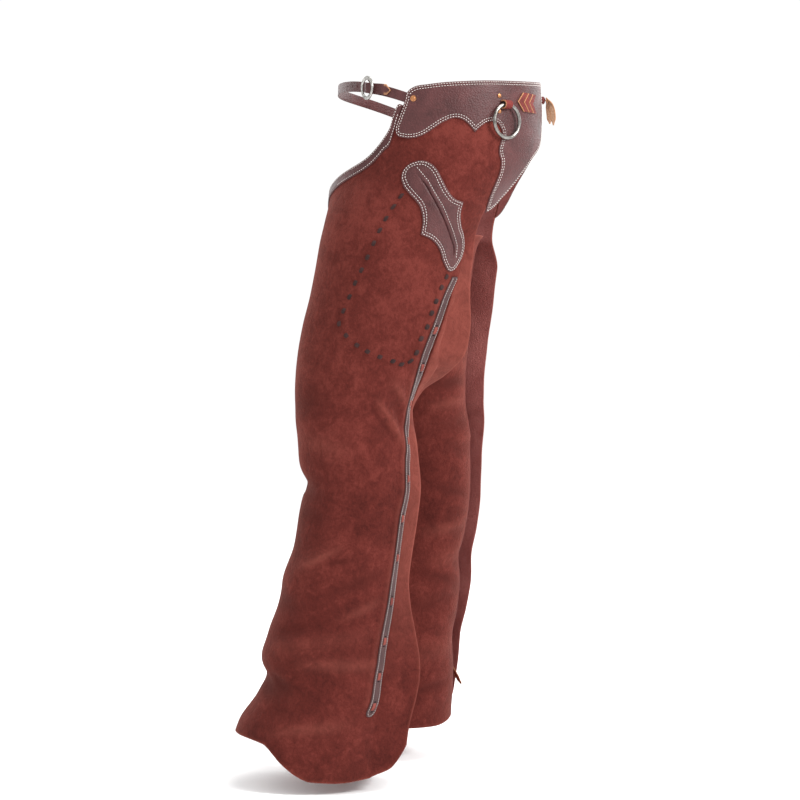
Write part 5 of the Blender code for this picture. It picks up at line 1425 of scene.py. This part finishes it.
def build_studio():
    """A pale floor under a pale sky, soft lights all round, and the photograph's camera."""
    scene = bpy.context.scene
    mesh = bpy.data.meshes.new("floor")
    reach, depth = FLOOR_REACH, FLOOR_HEIGHT
    corners = [(-reach, -reach, depth), (reach, -reach, depth), (reach, reach, depth), (-reach, reach, depth)]
    mesh.from_pydata(corners, [], [(0, 1, 2, 3)])
    floor = bpy.data.objects.new("floor", mesh)
    scene.collection.objects.link(floor)
    made = Finish("floor_paint", 0.9, specular=0.1)
    speckle = made.noise(40, 2, 0.5)
    made.set(Base_Color=made.ramp(speckle, [(0.3, (0.97, 0.97, 0.97)), (0.7, (0.99, 0.99, 0.99))]))
    mesh.materials.append(made.material)

    world = bpy.data.worlds.new("studio")
    world.use_nodes = True
    sky = world.node_tree.nodes["Background"]
    sky.inputs["Color"].default_value = (1, 1, 1, 1)
    sky.inputs["Strength"].default_value = SKY_STRENGTH
    scene.world = world
    scene.view_settings.view_transform = "Standard"

    for light in STUDIO_LIGHTS:
        area_light(*light)

    lens = bpy.data.cameras.new("camera")
    lens.lens, lens.sensor_width = CAMERA_LENS, SENSOR_WIDTH
    camera = bpy.data.objects.new("camera", lens)
    camera.location = CAMERA_PLACE
    camera.rotation_euler = (math.pi / 2 - math.radians(CAMERA_TILT), 0, math.pi / 2)
    scene.collection.objects.link(camera)
    scene.camera = camera


def build():
    """All the pieces, and the studio."""
    left = LegForm(LEFT_SECTIONS, LEFT_FOLDS, LEFT_CREASES, LEFT_HEM, 1)
    right = LegForm(RIGHT_SECTIONS, RIGHT_FOLDS, RIGHT_CREASES, RIGHT_HEM, -1)
    suede = suede_finish("suede")
    grain = smooth_finish("suede_inside", GRAIN_TONES, 0.5)
    raw_edge = suede_finish("suede_cut_edge")
    smooth = smooth_finish("yoke_leather", YOKE_TONES)
    flesh = smooth_finish("yoke_underside", GRAIN_TONES, 0.8)
    strip = smooth_finish("strip_leather", STRIP_TONES, 0.42)
    lace = smooth_finish("lace_leather", LACE_TONES, 0.6, specular=0.22, coat=0.0)
    seam_lace = smooth_finish("seam_lace_leather", SEAM_LACE_TONES, 0.6, specular=0.22, coat=0.0)
    dark_lace = smooth_finish("buckstitch_leather", DARK_LACE_TONES, 0.7, specular=0.2, coat=0.0)
    thong = smooth_finish("thong_leather", THONG_TONES, 0.75)
    steel = metal_finish("ring_steel", STEEL_TONES, 0.30)
    silver = metal_finish("buckle_silver", SILVER_TONES, 0.24, 300)
    copper = metal_finish("rivet_copper", COPPER_TONES, 0.36, 500)
    thread = thread_finish("thread")
    # Painted shade for the lace holes
    hole = smooth_finish("lace_hole_painted_shade", HOLE_SHADE_TONES, 0.9, specular=0.05, coat=0.0)

    for side, form in (("left", left), ("right", right)):
        leg = build_leg("leg_leather_" + side, form, [suede, grain, raw_edge])
        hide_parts("leg_" + side)
        yoke, yoke_seam, yoke_line = build_yoke("yoke_leather_" + side, form, [smooth, flesh], thread)
        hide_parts("yoke_" + side)
        name = "front_binding_leather_" + side
        binding, seam = build_binding(name, form, [smooth, flesh], thread, yoke_line)
        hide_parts("front_binding_" + side)
        name = "seam_strip_leather_" + side
        strip_piece, seam, laces, holes = build_strip(name, form, [strip, flesh], thread, seam_lace, hole)
        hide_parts("seam_strip_" + side)
        rivet = build_rivet("belt_rivet_" + side, form, FRONT_RIVET_ANGLE, FRONT_RIVET_HEIGHT,
                            FRONT_RIVET_DIAMETER, copper)
        for number, angle in enumerate(CHEVRON_ANGLES, start=1):
            build_chevron(f"lace_chevron_{side}_{number}", form, angle, lace)

    pocket, seam = build_pocket(left, [smooth, flesh], thread)
    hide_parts("pocket_left", "pocket_welt_left")

    build_long_strap(left, smooth)
    build_short_strap(left, smooth)
    for piece in build_buckle(left, silver):
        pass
    build_ring(left, steel)
    build_ring_loop(left, lace)
    for name, z in zip(("ring_rivet_upper", "ring_rivet_lower"), RING_RIVET_HEIGHTS):
        build_rivet(name, left, RING_RIVET_ANGLE, z, RING_RIVET_DIAMETER, copper)
    for number, z in enumerate(BACK_LACE_HEIGHTS, start=1):
        build_back_lace(f"back_lace_{number}", left, z, lace)
    build_knot(lace)
    for name, route in (("thong_left", THONG_LEFT), ("thong_right", THONG_RIGHT)):
        build_thong(name, route, thong)
    build_lace_tail(right, lace)
    for piece in build_buckstitches(left, dark_lace):
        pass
    build_studio()


build()
